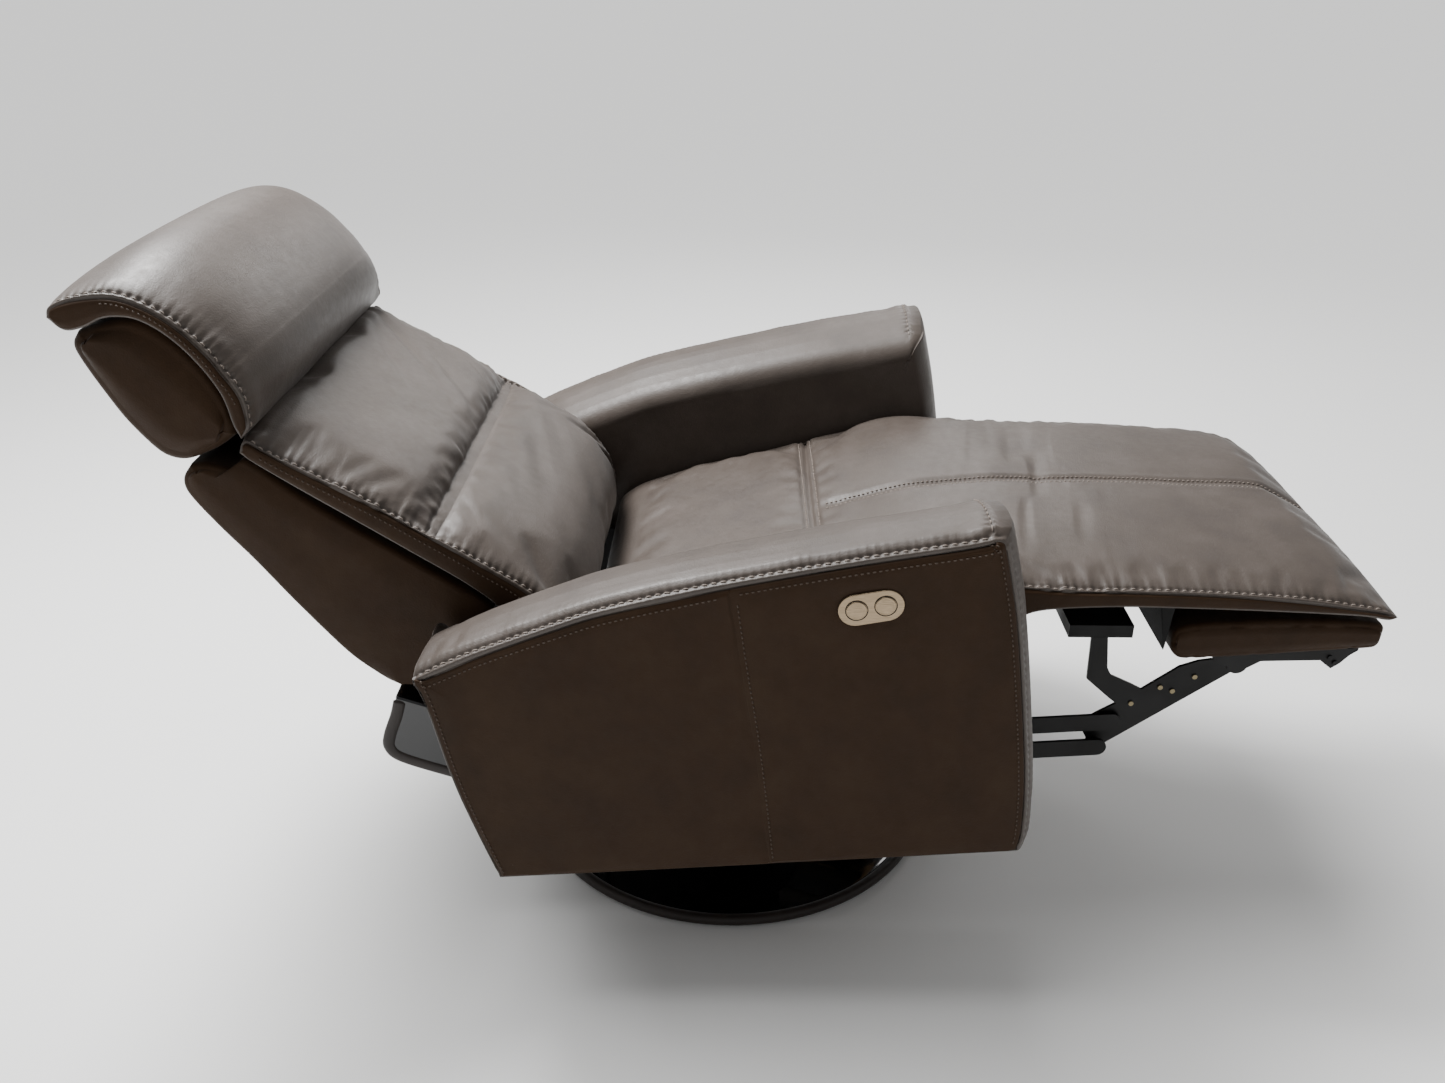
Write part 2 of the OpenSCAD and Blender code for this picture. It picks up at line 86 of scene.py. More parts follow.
# ---------------------------------------------------------------- outlines, [forward, up]
HEAD_OUTER = [(-689, 789), (-684, 800), (-658, 809), (-618, 811), (-584, 798), (-555, 776), (-532, 749),
              (-521, 731), (-511, 715), (-505, 698), (-504, 672), (-514, 659)]
HEAD_INNER = [(-689, 789), (-674, 776), (-654, 779), (-634, 788), (-616, 790), (-598, 787), (-577, 775),
              (-558, 757), (-540, 733), (-526, 705), (-520, 674), (-514, 659)]
CORE_OUTER = [(-668, 771), (-644, 779), (-618, 785), (-600, 783), (-581, 772), (-562, 755), (-544, 732),
              (-530, 704), (-524, 676), (-523, 660)]
CORE_INNER = [(-668, 771), (-676, 757), (-670, 737), (-654, 704), (-636, 671), (-613, 641), (-597, 631),
              (-580, 630), (-558, 638), (-540, 647), (-523, 660)]
BACK_OUTER = [(-519, 643), (-512, 657), (-494, 646), (-465, 628), (-416, 600), (-373, 575), (-333, 549),
              (-279, 514), (-227, 478), (-200, 447), (-184, 416), (-180, 388), (-188, 366), (-204, 362)]
BACK_INNER = [(-519, 643), (-506, 632), (-466, 604), (-430, 580), (-358, 532), (-285, 482), (-250, 446),
              (-232, 400), (-220, 372), (-204, 362)]
SHELL_OUTER = [(-578, 626), (-560, 628), (-530, 622), (-517, 633), (-471, 596), (-435, 569), (-363, 521),
               (-290, 472), (-268, 450), (-276, 420), (-300, 394), (-340, 356), (-384, 347)]
SHELL_INNER = [(-578, 626), (-588, 612), (-589, 598), (-580, 580), (-558, 549), (-530, 513), (-486, 451),
               (-442, 395), (-412, 368), (-384, 347)]
SEAT_OUTER = [(-170, 338), (-172, 352), (-160, 366), (-127, 385), (-50, 410), (40, 433), (112, 456),
              (162, 467), (193, 477), (228, 486), (269, 490), (326, 489), (375, 485), (454, 484),
              (543, 481), (633, 474), (690, 466), (730, 460), (743, 454)]
SEAT_INNER = [(-170, 338), (-160, 322), (-136, 304), (0, 352), (120, 398), (200, 427), (286, 432),
              (318, 446), (350, 459), (430, 464), (502, 463), (600, 460), (700, 455), (733, 450),
              (743, 454)]
ARM_TOP = [(-323, 456), (-292, 471), (-254, 489), (-177, 520), (-127, 538), (-27, 564), (50, 581),
           (146, 600), (231, 615), (262, 623)]
ARM_FRONT = [(267, 616), (276, 580), (288, 526), (303, 432), (316, 334), (320, 266), (317, 236)]
ARM_REAR = [(-254, 190), (-280, 272), (-296, 332), (-315, 425), (-325, 449)]
TOE_OUTER = [(507, 408), (508, 418), (514, 426), (532, 431), (564, 434), (628, 437), (700, 437), (735, 434),
             (744, 429), (746, 418)]
TOE_INNER = [(507, 408), (509, 394), (522, 384), (564, 386), (628, 391), (700, 397), (736, 400),
             (744, 406), (746, 418)]
SEAM_ACROSS_F = 105.0               # the seat's cross seam
SEAM_BACK = (-331.0, 547.0)         # the welt across the back
SEAM_OVERLAP = 1.7                  # how far the two side panels run into each other at their seam
PANEL_SEAM = [(-4, 600), (12, 479), (29, 362), (47, 195)]   # upright seam of the arm's side
PANEL_SEAM_TOP_F = -1               # where that seam meets the panels' top edge
PANEL_SHARE = 0.42                  # share of the front panel's edge that counts as its outer line
ARM_RINGS = 430                     # points along the arm's side outline
ARM_CORNER = (262, 623)             # top front corner of the arm


# ---------------------------------------------------------------- curves and grids
def arc_length(line):
    """Running length along a polyline: the sum of the straight steps before each point."""
    return np.concatenate([[0], np.cumsum(np.linalg.norm(np.diff(line, axis=0), axis=1))])


def resample(line, count):
    """The polyline's points at count equal steps of its running length."""
    s = arc_length(line)
    even = np.linspace(0, s[-1], count)
    return np.column_stack([np.interp(even, s, line[:, k]) for k in range(line.shape[1])])


def curve(points):
    """Catmull-Rom curve: between two points, the cubic whose end slopes are half the step between their
    neighbours."""
    p = np.array(points, float)
    q = np.vstack([2 * p[0] - p[1], p, 2 * p[-1] - p[-2]])[:, None, :]
    t = np.linspace(0, 1, 12, endpoint=False)[None, :, None]
    a, b, c, d = q[:-3], q[1:-2], q[2:-1], q[3:]
    square, cube = 2 * a - 5 * b + 4 * c - d, 3 * b - a - 3 * c + d
    cubic = 0.5 * (2 * b + (c - a) * t + square * t**2 + cube * t**3)
    return np.vstack([cubic.reshape(-1, p.shape[1]), p[-1]])


def soften(line, passes=3):
    """The polyline with its corners eased: each inner point becomes a quarter, a half and a quarter of
    three."""
    line = line.copy()
    for _ in range(passes):
        line[1:-1] = (line[:-2] + 2 * line[1:-1] + line[2:]) / 4
    return line


def bump(d, width):
    """Bell curve exp(-d^2 / (2 width^2))."""
    return np.exp(-(d / width) ** 2 / 2)


def ease(t):
    """Smooth step from 0 to 1: 3t^2 - 2t^3, with t held between 0 and 1."""
    t = np.clip(t, 0, 1)
    return t * t * (3 - 2 * t)


def noise(a, b, seed):
    """Smooth noise from -1 to 1: random values on whole numbers of a and b, eased between the four round
    a point."""
    table = np.random.default_rng(seed).uniform(-1, 1, (64, 64))
    i, j = np.floor(a).astype(int), np.floor(b).astype(int)
    u, v = ease(a - i), ease(b - j)
    at = lambda k, m: table[(i + k) % 64, (j + m) % 64]
    return (at(0, 0) * (1 - u) + at(1, 0) * u) * (1 - v) + (at(0, 1) * (1 - u) + at(1, 1) * u) * v


def section(x0, r0, rings0, x1, r1, rings1, steps, marks=()):
    """Stations across a form from x0 to x1, whose two edges have the radii r0 and r1.

    Returns x, inset and reach. Along the face x runs as 0.6 sin + 0.4 straight, so it is closer spaced
    near the edges; round an edge of radius r, x and inset are r sin a and r (1 - cos a); past it reach
    goes from 0 to 1, the share of the way from the edge to the form's middle line. The station nearest
    to each mark is put on it.
    """
    q = np.linspace(-1, 1, steps)
    low, high = x0 + r0, x1 - r1
    face = (low + high) / 2 + (high - low) / 2 * (0.6 * np.sin(np.pi / 2 * q) + 0.4 * q)
    for mark in marks:
        face[np.argmin(abs(face - mark))] = mark
    a = np.linspace(0, np.pi / 2, 6)[1:]
    k0 = (np.arange(rings0, 0, -1) / rings0) ** 1.2
    k1 = (np.arange(1, rings1 + 1) / rings1) ** 1.2
    out, deep = np.sin(a), 1 - np.cos(a)
    x = np.concatenate([k0 * 0 + x0, (low - r0 * out)[::-1], face, high + r1 * out, k1 * 0 + x1])
    inset = np.concatenate([k0 * 0 + r0, r0 * deep[::-1], face * 0, r1 * deep, k1 * 0 + r1])
    reach = np.concatenate([k0, a * 0, face * 0, a * 0, k1])
    return x, inset, reach


def normals(grid):
    """Unit normals of a grid that closes along its first index: cross product of the steps along i and
    along j."""
    along = np.roll(grid, -1, 0) - np.roll(grid, 1, 0)
    across = np.gradient(grid, axis=1)
    n = np.cross(along, across)
    return n / np.maximum(np.linalg.norm(n, axis=2, keepdims=True), 1e-12)


class Form:
    """A closed upholstered form. Index i runs forward along the outer line and back along the inner one,
    and index j across it. A point is the outline's point, moved by the crown, then moved towards the
    middle line by the section's inset and reach. The crown is a distance along the outline's normal,
    or a [forward, up] step. All sizes are in millimetres."""

    def __init__(self, outer, inner, count, stations, crown=None, bulge=(0.0, 0.0), rise=1.6, margin=14.0):
        top, low = soften(resample(outer, count)), soften(resample(inner, count))
        self.outline = np.vstack([top, low[-2:0:-1]])
        self.count = count
        pair = np.concatenate([np.arange(count), np.arange(count - 2, 0, -1)])
        step = arc_length(top)[-1] / (count - 1)
        hold = max(2, int(margin / step))
        middle = ((top + low) / 2)[np.clip(pair, hold, count - 1 - hold)][:, None, :]
        t = np.roll(self.outline, -2, 0) - np.roll(self.outline, 2, 0)
        n = np.column_stack([-t[:, 1], t[:, 0]])
        self.out = n / np.linalg.norm(n, axis=1, keepdims=True)
        self.x, inset, reach = stations
        self.reach = reach
        self.s = arc_length(self.outline)[:, None] + self.x * 0
        self.f = self.outline[:, :1] + self.x * 0
        self.z = self.outline[:, 1:] + self.x * 0
        self.on_top = (np.arange(len(self.outline)) < count)[:, None] & np.full(len(self.x), True)
        lift = np.zeros_like(self.s) if crown is None else crown(self)
        if lift.ndim == 2:
            lift = self.out[:, None, :] * lift[:, :, None]
        point = self.outline[:, None, :] + lift
        gap = np.maximum(np.linalg.norm(middle - self.outline[:, None, :], axis=2), 1e-6)
        share = np.clip(inset / gap, 0, 0.85)
        share = share + (1 - share) * reach
        point = point + (middle - point) * share[:, :, None]
        high_side = self.x > (self.x.min() + self.x.max()) / 2
        stand = np.where(high_side, bulge[1], -bulge[0]) * np.sin(np.pi / 2 * np.clip(reach * rise, 0, 1))
        x = self.x + stand
        self.grid = np.dstack([x + point[:, :, 0] * 0, -point[:, :, 0], point[:, :, 1]]) * MM

    def ring(self, f, z):
        """Index of the outline point nearest to [f, z]."""
        return int(np.argmin(np.linalg.norm(self.outline - (f, z), axis=1)))

    def press(self, depth):
        """Moves every point out along the surface normal by depth, in millimetres."""
        self.grid = self.grid + normals(self.grid) * depth[:, :, None] * MM

    def swell(self, held, pressure, slack, cap):
        """Cloth simulation of the leather of the face, on every third grid point. The points in held
        stay put, as sewn seams do. The travel, capped in millimetres, is smoothed onto the fine grid."""
        first, last = np.flatnonzero(self.reach == 0)[[0, -1]]
        i = np.arange(0, len(self.outline), 3)
        j = np.unique(np.append(np.arange(first, last, 3), last))
        coarse = self.grid[np.ix_(i, j)]
        pinned = held[np.ix_(i, j)]
        moved = simulate(coarse, pinned, pressure, slack)
        travel = moved - coarse
        length = np.linalg.norm(travel, axis=2, keepdims=True)
        travel = travel * np.minimum(1, cap * MM / np.maximum(length, 1e-9))
        rows = len(self.outline)
        wrapped = np.concatenate([travel, travel[:1]])
        places = np.append(i, rows)
        fine = np.zeros((rows, len(j), 3))
        full = np.zeros_like(self.grid)
        for k in range(3):
            for m in range(len(j)):
                fine[:, m, k] = np.interp(np.arange(rows), places, wrapped[:, m, k])
        span = np.arange(first, last + 1)
        for k in range(3):
            for m in range(rows):
                full[m, first:last + 1, k] = np.interp(span, j, fine[m, :, k])
        for _ in range(4):
            full = (np.roll(full, 1, 0) + 2 * full + np.roll(full, -1, 0)) / 4
            inner = (full[:, :-2] + 2 * full[:, 1:-1] + full[:, 2:]) / 4
            full[:, first + 1:last] = inner[:, first:last - 1]
        self.grid = self.grid + full

    def sewn(self, first, last, rest=8):
        """The points that the cloth leaves alone: all but the outer line from the running length first
        to last, and the face's outermost rest columns on each side."""
        face = np.flatnonzero(self.reach == 0)
        held = ~(self.on_top & (self.s > first) & (self.s < last))
        held[:, :face[0] + rest] = True
        held[:, face[-1] - rest:] = True
        return held

    def mesh(self, name, material, side_material=None):
        """Quads between neighbours, closed along i. At each end the outer and the inner half meet on the
        middle line: both take the mean of their two points, and the points are merged. The ends
        beyond the face can have a material of their own."""
        count = len(self.grid)
        partner = (count - np.arange(count)) % count
        for end in (0, -1):
            self.grid[:, end] = (self.grid[:, end] + self.grid[partner, end]) / 2
        side = self.reach if side_material else None
        piece = grid_object(name, self.grid, material, wrap=True, side=side)
        if side_material:
            piece.data.materials.append(side_material)
        return piece


def put(name, data):
    """A new object with this data, linked to the scene."""
    made = bpy.data.objects.new(name, data)
    bpy.context.scene.collection.objects.link(made)
    return made


def grid_object(name, grid, material, wrap, wrap_across=False, side=None):
    """A mesh object from a grid of points. wrap closes it along the first index and wrap_across along
    the second. Where side, one number a column, is above 0 the faces take the second material."""
    rows, cols = grid.shape[:2]
    a = np.arange(rows if wrap else rows - 1)[:, None]
    b = np.arange(cols if wrap_across else cols - 1)[None, :]
    a2, b2 = (a + 1) % rows, (b + 1) % cols
    quads = np.stack([a * cols + b, a2 * cols + b, a2 * cols + b2, a * cols + b2], -1).reshape(-1, 4)
    slots = None
    if side is not None:
        slots = np.tile((np.maximum(side[:-1], side[1:]) > 0).astype(int), rows)
    return mesh_object(name, grid.reshape(-1, 3), quads, material, slots)


def mesh_object(name, points, faces, material, slots=None):
    """A mesh object from points and faces, with doubled points merged and faces smooth. slots, if given,
    is the number of each face's material."""
    mesh = bpy.data.meshes.new(name)
    mesh.from_pydata(points.tolist(), [], faces.tolist())
    if slots is not None:
        mesh.polygons.foreach_set("material_index", slots)
    work = bmesh.new()
    work.from_mesh(mesh)
    bmesh.ops.remove_doubles(work, verts=work.verts, dist=2e-6)
    bmesh.ops.dissolve_degenerate(work, edges=work.edges, dist=1e-7)
    work.to_mesh(mesh)
    work.free()
    mesh.polygons.foreach_set("use_smooth", np.ones(len(mesh.polygons), bool))
    mesh.materials.append(material)
    return put(name, mesh)


def simulate(points, pinned, pressure, slack):
    """Blender's cloth on an open grid, closed along i: air pressure behind it, no gravity, 20 frames.
    slack is the share by which the leather is larger than its seams allow."""
    rows, cols = points.shape[:2]
    a = np.arange(rows)[:, None]
    b = np.arange(cols - 1)[None, :]
    a2 = (a + 1) % rows
    quads = np.stack([a * cols + b, a2 * cols + b, a2 * cols + b + 1, a * cols + b + 1], -1).reshape(-1, 4)
    mesh = bpy.data.meshes.new("leather_blank")
    mesh.from_pydata(points.reshape(-1, 3).tolist(), [], quads.tolist())
    sheet = put("leather_blank", mesh)
    group = sheet.vertex_groups.new(name="sewn")
    group.add(np.flatnonzero(pinned.ravel()).tolist(), 1.0, "REPLACE")
    cloth = sheet.modifiers.new("Cloth", "CLOTH")
    s = cloth.settings
    s.quality = 5
    s.mass = 0.3
    s.tension_stiffness = 15
    s.compression_stiffness = 15
    s.shear_stiffness = 8
    s.bending_stiffness = 1.5
    s.vertex_group_mass = "sewn"
    s.use_pressure = True
    s.uniform_pressure_force = pressure
    s.shrink_min = -slack
    s.effector_weights.gravity = 0
    cloth.collision_settings.use_collision = False
    cloth.point_cache.frame_start = 1
    cloth.point_cache.frame_end = 20
    scene = bpy.context.scene
    for step in range(1, 21):
        scene.frame_set(step)
    done = sheet.evaluated_get(bpy.context.evaluated_depsgraph_get()).data
    out = np.zeros(len(done.vertices) * 3)
    done.vertices.foreach_get("co", out)
    scene.frame_set(1)
    bpy.data.objects.remove(sheet)
    bpy.data.meshes.remove(mesh)
    return out.reshape(rows, cols, 3)


def saddle_edge(e, s, seed):
    """Depth of a saddle-stitched edge, in millimetres, e from its seam and s along it: the seam's
    groove, a lip, the dimples where the thread goes down every SADDLE_PITCH, and short folds that run
    back from the dimples."""
    beat = (0.5 + 0.5 * np.cos(2 * np.pi * s / SADDLE_PITCH)) ** 1.5
    lively = 0.65 + 0.35 * noise(s / 23, s * 0, seed)
    past = np.maximum(e - SADDLE_IN, 0)
    return (-2.2 * bump(e, 1.0) + 0.9 * bump(e - 3, 1.4)
            - (0.8 + 1.9 * beat) * bump(e - SADDLE_IN, 1.7)
            - 1.7 * beat * lively * np.exp(-past / 8) * (e > SADDLE_IN)
            + 1.7 * bump(e - SADDLE_IN - 11, 7) * lively)


def twin_seam(d, s, out=7.0):
    """Depth of a twin-needle seam, d from its middle and s along it: a narrow groove, the leather puffed
    beside it, and a row of small stitch dimples on each side at the distance out."""
    beat = 0.5 + 0.5 * np.cos(2 * np.pi * s / FINE_PITCH)
    off = abs(d)
    return (-2.8 * bump(d, 1.0) + 1.0 * bump(off - out / 2, 1.4)
            - (0.7 + 1.0 * beat) * bump(off - out, 1.2) + 1.0 * bump(off - out - 6, 4))


def edge_threads(name, piece, points, along, cast, pitch, length, material):
    """A row of stitches on a piece. The points are laid on its surface along cast; along is each point's
    running length, as the dimples count it."""
    rows, ups, runs = [], [], []
    step = Vector(cast).normalized()
    for point, run in zip(points, along):
        start = Vector(point) * MM - step * 0.06
        hit, place, up, _ = piece.ray_cast(start, step, distance=0.12)
        if hit:
            rows.append(place)
            ups.append(up)
            runs.append(run)
    rows, ups, runs = np.array(rows), np.array(ups), np.array(runs)
    return threads(name, rows, ups, runs, pitch, length, material)


def threads(name, line, ups, runs, pitch, length, material):
    """Stitches along a line of surface points with normals ups and running lengths runs in millimetres.
    A stitch is a six-sided tube, centred half way between two holes. With t from -1 to 1 along it,
    its middle stands 0.75 (1 - 2.2 t^4) thread radii over the leather, so the ends dive in."""
    first, last = math.ceil(runs[0] / pitch), math.floor(runs[-1] / pitch) - 1
    centres = (np.arange(first, last + 1) + 0.5) * pitch
    t = np.linspace(-1, 1, 7)
    at = centres[:, None] + t * length / 2
    pick = lambda values: np.stack([np.interp(at, runs, values[:, k]) for k in range(3)], -1)
    middle, up = pick(line), pick(ups)
    up /= np.linalg.norm(up, axis=2, keepdims=True)
    run = np.gradient(middle, axis=1)
    run /= np.maximum(np.linalg.norm(run, axis=2, keepdims=True), 1e-9)
    side = np.cross(run, up)
    r = THREAD * np.sqrt(np.maximum(1 - (t * 0.98) ** 6, 0))[None, :, None, None] * MM
    high = (0.75 * THREAD * (1 - 2.2 * t**4))[None, :, None] * MM
    turn = np.linspace(0, 2 * np.pi, 6, endpoint=False)[None, None, :, None]
    spoke = side[:, :, None] * np.cos(turn) + up[:, :, None] * np.sin(turn)
    ring = (middle + up * high)[:, :, None] + r * spoke
    count = len(centres)
    k = np.arange(count)[:, None, None] * 42
    a = np.arange(6)[None, :, None] * 6
    b = np.arange(6)[None, None, :]
    b2 = (b + 1) % 6
    quads = np.stack([k + a + b, k + a + b2, k + a + 6 + b2, k + a + 6 + b], -1).reshape(-1, 4)
    caps = np.concatenate([k + a[:, :1] + b[:, :, ::-1], k + 36 + b], 1).reshape(-1, 6)
    mesh = bpy.data.meshes.new(name)
    mesh.from_pydata(ring.reshape(-1, 3).tolist(), [], quads.tolist() + caps.tolist())
    mesh.polygons.foreach_set("use_smooth", np.ones(len(mesh.polygons), bool))
    mesh.materials.append(material)
    return put(name, mesh)


def lathe(name, profile, centre, axis, material, sides=96):
    """A turned piece: the profile of [radius, height] points carried round the axis through the centre."""
    p = np.array(profile, float)
    turn = np.linspace(0, 2 * np.pi, sides, endpoint=False)[:, None]
    n = np.array(Vector(axis).normalized())
    u = np.array(Vector(axis).orthogonal().normalized())
    v = np.cross(n, u)
    spoke = np.cos(turn)[:, :, None] * u + np.sin(turn)[:, :, None] * v
    grid = np.array(centre) + spoke * p[None, :, :1] + p[None, :, 1:] * n
    return grid_object(name, grid * MM, material, wrap=True)


def rope(name, path, across, wide, thick, material):
    """A bead along a path: an oval of the half sizes wide, in the path's plane, and thick, along the
    given direction, carried along it and closed at both ends."""
    p = np.array(path, float)
    run = np.gradient(p, axis=0)
    run /= np.linalg.norm(run, axis=1, keepdims=True)
    a = np.array(across, float)
    u = np.cross(run, a)
    turn = np.linspace(0, 2 * np.pi, 20, endpoint=False)[None, :, None]
    size = np.ones(len(p))
    size[[0, -1]] = 0
    size[[1, -2]] = 0.7
    oval = u[:, None] * np.cos(turn) * wide + a * np.sin(turn) * thick
    grid = p[:, None] + oval * size[:, None, None]
    return grid_object(name, grid[:, ::-1] * MM, material, wrap=False, wrap_across=True)


# ---------------------------------------------------------------- materials
def colour(code):
    """Linear colour from an sRGB hex code."""
    c = np.array([int(code[k:k + 2], 16) for k in (1, 3, 5)]) / 255
    return (*np.where(c <= 0.04045, c / 12.92, ((c + 0.055) / 1.055) ** 2.4).tolist(), 1.0)


def blank(name):
    """A new node material with its shader, and the shader node."""
    material = bpy.data.materials.new(name)
    material.use_nodes = True
    return material, material.node_tree.nodes["Principled BSDF"]


def add(shader, kind, settings=None, links=()):
    """Adds a node beside the shader. settings name its own properties or input sockets; links are pairs
    of a source socket and the name or number of the input that it feeds."""
    tree = shader.id_data
    node = tree.nodes.new(kind)
    for key, value in (settings or {}).items():
        if isinstance(key, str) and hasattr(node, key):
            setattr(node, key, value)
        else:
            node.inputs[key].default_value = value
    for source, target in links:
        tree.links.new(source, node.inputs[target])
    return node


def join(shader, source, target):
    shader.id_data.links.new(source, shader.inputs[target])


def surface(name):
    """A new material, its shader, and the place in Object coordinates that its patterns read."""
    material, shader = blank(name)
    return material, shader, add(shader, "ShaderNodeTexCoord").outputs["Object"]


def cloudy(shader, place, size, detail, **more):
    """Noise whose blotches are size metres wide."""
    look = {"Scale": 1 / size, "Detail": detail, **more}
    return add(shader, "ShaderNodeTexNoise", look, [(place, 0)]).outputs


def emboss(shader, height, strength, depth, below=None):
    """Bump of the height, depth metres deep, over the normal below."""
    links = [(height, "Height")] + ([(below, "Normal")] if below else [])
    return add(shader, "ShaderNodeBump", {"Strength": strength, "Distance": depth}, links).outputs[0]


def between(shader, source, low, high):
    """The middle of the noise, 0.3 to 0.7, spread from low to high."""
    limits = {"From Min": 0.3, "From Max": 0.7, "To Min": low, "To Max": high}
    return add(shader, "ShaderNodeMapRange", limits, [(source, 0)]).outputs[0]


def ramp(shader, source, stops):
    """A colour ramp over (place, hex) stops."""
    node = add(shader, "ShaderNodeValToRGB", links=[(source, 0)])
    while len(node.color_ramp.elements) < len(stops):
        node.color_ramp.elements.new(0.5)
    for element, (place, code) in zip(node.color_ramp.elements, stops):
        element.position = place
        element.color = colour(code)
    return node.outputs[0]


def leather(name, dark, middle, light, rough, gloss):
    """Corrected-grain aniline leather, drum dyed and sprayed with a satin finish: soft cloudy colour, a
    fine pebble grain and a low broad sheen. The real grain is about 0.6 mm; it is drawn at 1.6 mm to
    show."""
    material, shader, place = surface(name)
    cloud = cloudy(shader, place, 0.06, 5.0, Roughness=0.6)
    join(shader, ramp(shader, cloud[0], [(0.32, dark), (0.5, middle), (0.68, light)]), "Base Color")
    warp = cloudy(shader, place, 0.004, 2.0)
    bent = add(shader, "ShaderNodeMix", {"data_type": "VECTOR", 0: 0.0006}, [(place, 4), (warp[1], 5)])
    grain = add(shader, "ShaderNodeTexVoronoi", {"Scale": 1 / 0.0016, "feature": "SMOOTH_F1"},
                [(bent.outputs[1], 0)])
    crease = cloudy(shader, place, 0.011, 6.0, Roughness=0.65)
    join(shader, between(shader, crease[0], rough - 0.05, rough + 0.07), "Roughness")
    pebble = emboss(shader, grain.outputs[0], 0.35, 0.0004)
    join(shader, emboss(shader, crease[0], 0.3, 0.0012, pebble), "Normal")
    shader.inputs["Specular IOR Level"].default_value = gloss
    shader.inputs["Sheen Weight"].default_value = 0.06
    shader.inputs["Sheen Roughness"].default_value = 0.5
    return material


def thread(name, code, worn):
    """Bonded polyester sewing thread, twisted: slightly fuzzy and lighter than the leather."""
    material, shader, place = surface(name)
    twist = cloudy(shader, place, 0.0008, 2.0)[0]
    join(shader, emboss(shader, twist, 0.4, 0.0002), "Normal")
    join(shader, ramp(shader, twist, [(0.3, code), (0.8, worn)]), "Base Color")
    shader.inputs["Roughness"].default_value = 0.6
    return material


def painted(name, code, lift, rough, grit, depth, coat=0.0):
    """Sprayed steel or moulded plastic: one colour with a little cloud, and the fine texture of the
    coat, whose grains are grit metres wide and depth metres high. A lacquer adds a clear coat."""
    material, shader, place = surface(name)
    cloud = cloudy(shader, place, 0.05, 4.0)[0]
    join(shader, ramp(shader, cloud, [(0.3, code), (0.75, lift)]), "Base Color")
    peel = cloudy(shader, place, grit, 3.0)[0]
    join(shader, emboss(shader, peel, 0.5, depth), "Normal")
    join(shader, between(shader, cloud, rough * 0.85, rough * 1.2), "Roughness")
    shader.inputs["Specular IOR Level"].default_value = 0.25
    shader.inputs["Coat Weight"].default_value = coat
    shader.inputs["Coat Roughness"].default_value = 0.04
    return material


def metal(name, low, high, rough, stretch):
    """Bare metal, brushed or plated: fine streaks, 0.5 mm apart across, drawn out along one axis by
    stretch."""
    material, shader, place = surface(name)
    drawn = add(shader, "ShaderNodeMapping", {"Scale": (1.0, 1.0 / stretch, 1.0)}, [(place, 0)])
    streak = cloudy(shader, drawn.outputs[0], 0.0005, 3.0)[0]
    join(shader, ramp(shader, streak, [(0.3, low), (0.7, high)]), "Base Color")
    join(shader, emboss(shader, streak, 0.25, 0.0001), "Normal")
    shader.inputs["Metallic"].default_value = 1.0
    shader.inputs["Roughness"].default_value = rough
    return material


def wood(name, low, high):
    """Rotary-cut plywood: darker rings from a distorted wave 6 mm apart, and fine pores."""
    material, shader, place = surface(name)
    rings = add(shader, "ShaderNodeTexWave", {"Scale": 1 / 0.02, "Distortion": 6.0, "Detail": 3.0},
                [(place, 0)]).outputs[0]
    join(shader, ramp(shader, rings, [(0.2, low), (0.8, high)]), "Base Color")
    join(shader, emboss(shader, rings, 0.3, 0.0003), "Normal")
    shader.inputs["Roughness"].default_value = 0.65
    return material


def woven(name, low, high, pitch):
    """Woven or needled cloth: two crossed waves, one pitch per thread, mixed by their product."""
    material, shader, place = surface(name)
    warp, weft = (add(shader, "ShaderNodeTexWave", {"Scale": 1 / (pitch * 3.2), "bands_direction": way},
                      [(place, 0)]).outputs[1] for way in "XY")
    both = add(shader, "ShaderNodeMath", {"operation": "MULTIPLY"}, [(warp, 0), (weft, 1)]).outputs[0]
    join(shader, ramp(shader, both, [(0.0, low), (1.0, high)]), "Base Color")
    join(shader, emboss(shader, both, 0.6, 0.0004), "Normal")
    shader.inputs["Roughness"].default_value = 0.9
    return material


LEATHER = leather("satin_aniline_leather", "#3a312b", "#403730", "#463d37", 0.5, 0.5)
# The side leather is the top leather made darker and browner: painted shade and painted warm floor bounce
# on the side faces, side strips, inner pads, shell and footrest box.
LEATHER_SIDE_SHADED = leather("satin_leather_painted_shade", "#2a1b0d", "#2e1e0f", "#322213", 0.58, 0.12)
THREAD_TOP = thread("bonded_thread_taupe", "#6f645c", "#8d8279")
# The side thread is the taupe thread made darker and browner: painted shade on the side stitching, as on
# the side leather.
THREAD_SIDE_SHADED = thread("bonded_thread_painted_shade", "#35281c", "#463628")
POWDER = painted("satin_black_powder_coat", "#060505", "#0b0a09", 0.5, 0.0008, 0.00006)
LACQUER = painted("gloss_black_lacquer", "#070708", "#0b0b0c", 0.12, 0.003, 0.00001, coat=1.0)
GLOSS_ABS = painted("gloss_black_abs", "#0b0c0e", "#101114", 0.1, 0.004, 0.00002, coat=0.8)
RIM = painted("satin_dark_moulding", "#2b2624", "#332d2a", 0.4, 0.001, 0.00004)
STAINLESS = metal("brushed_stainless_steel", "#857560", "#a39179", 0.34, 30.0)
ZINC = metal("yellow_zinc_plate", "#6f6650", "#8d8268", 0.4, 1.0)
DUST_CLOTH = woven("black_dust_cloth", "#070707", "#101010", 0.001)
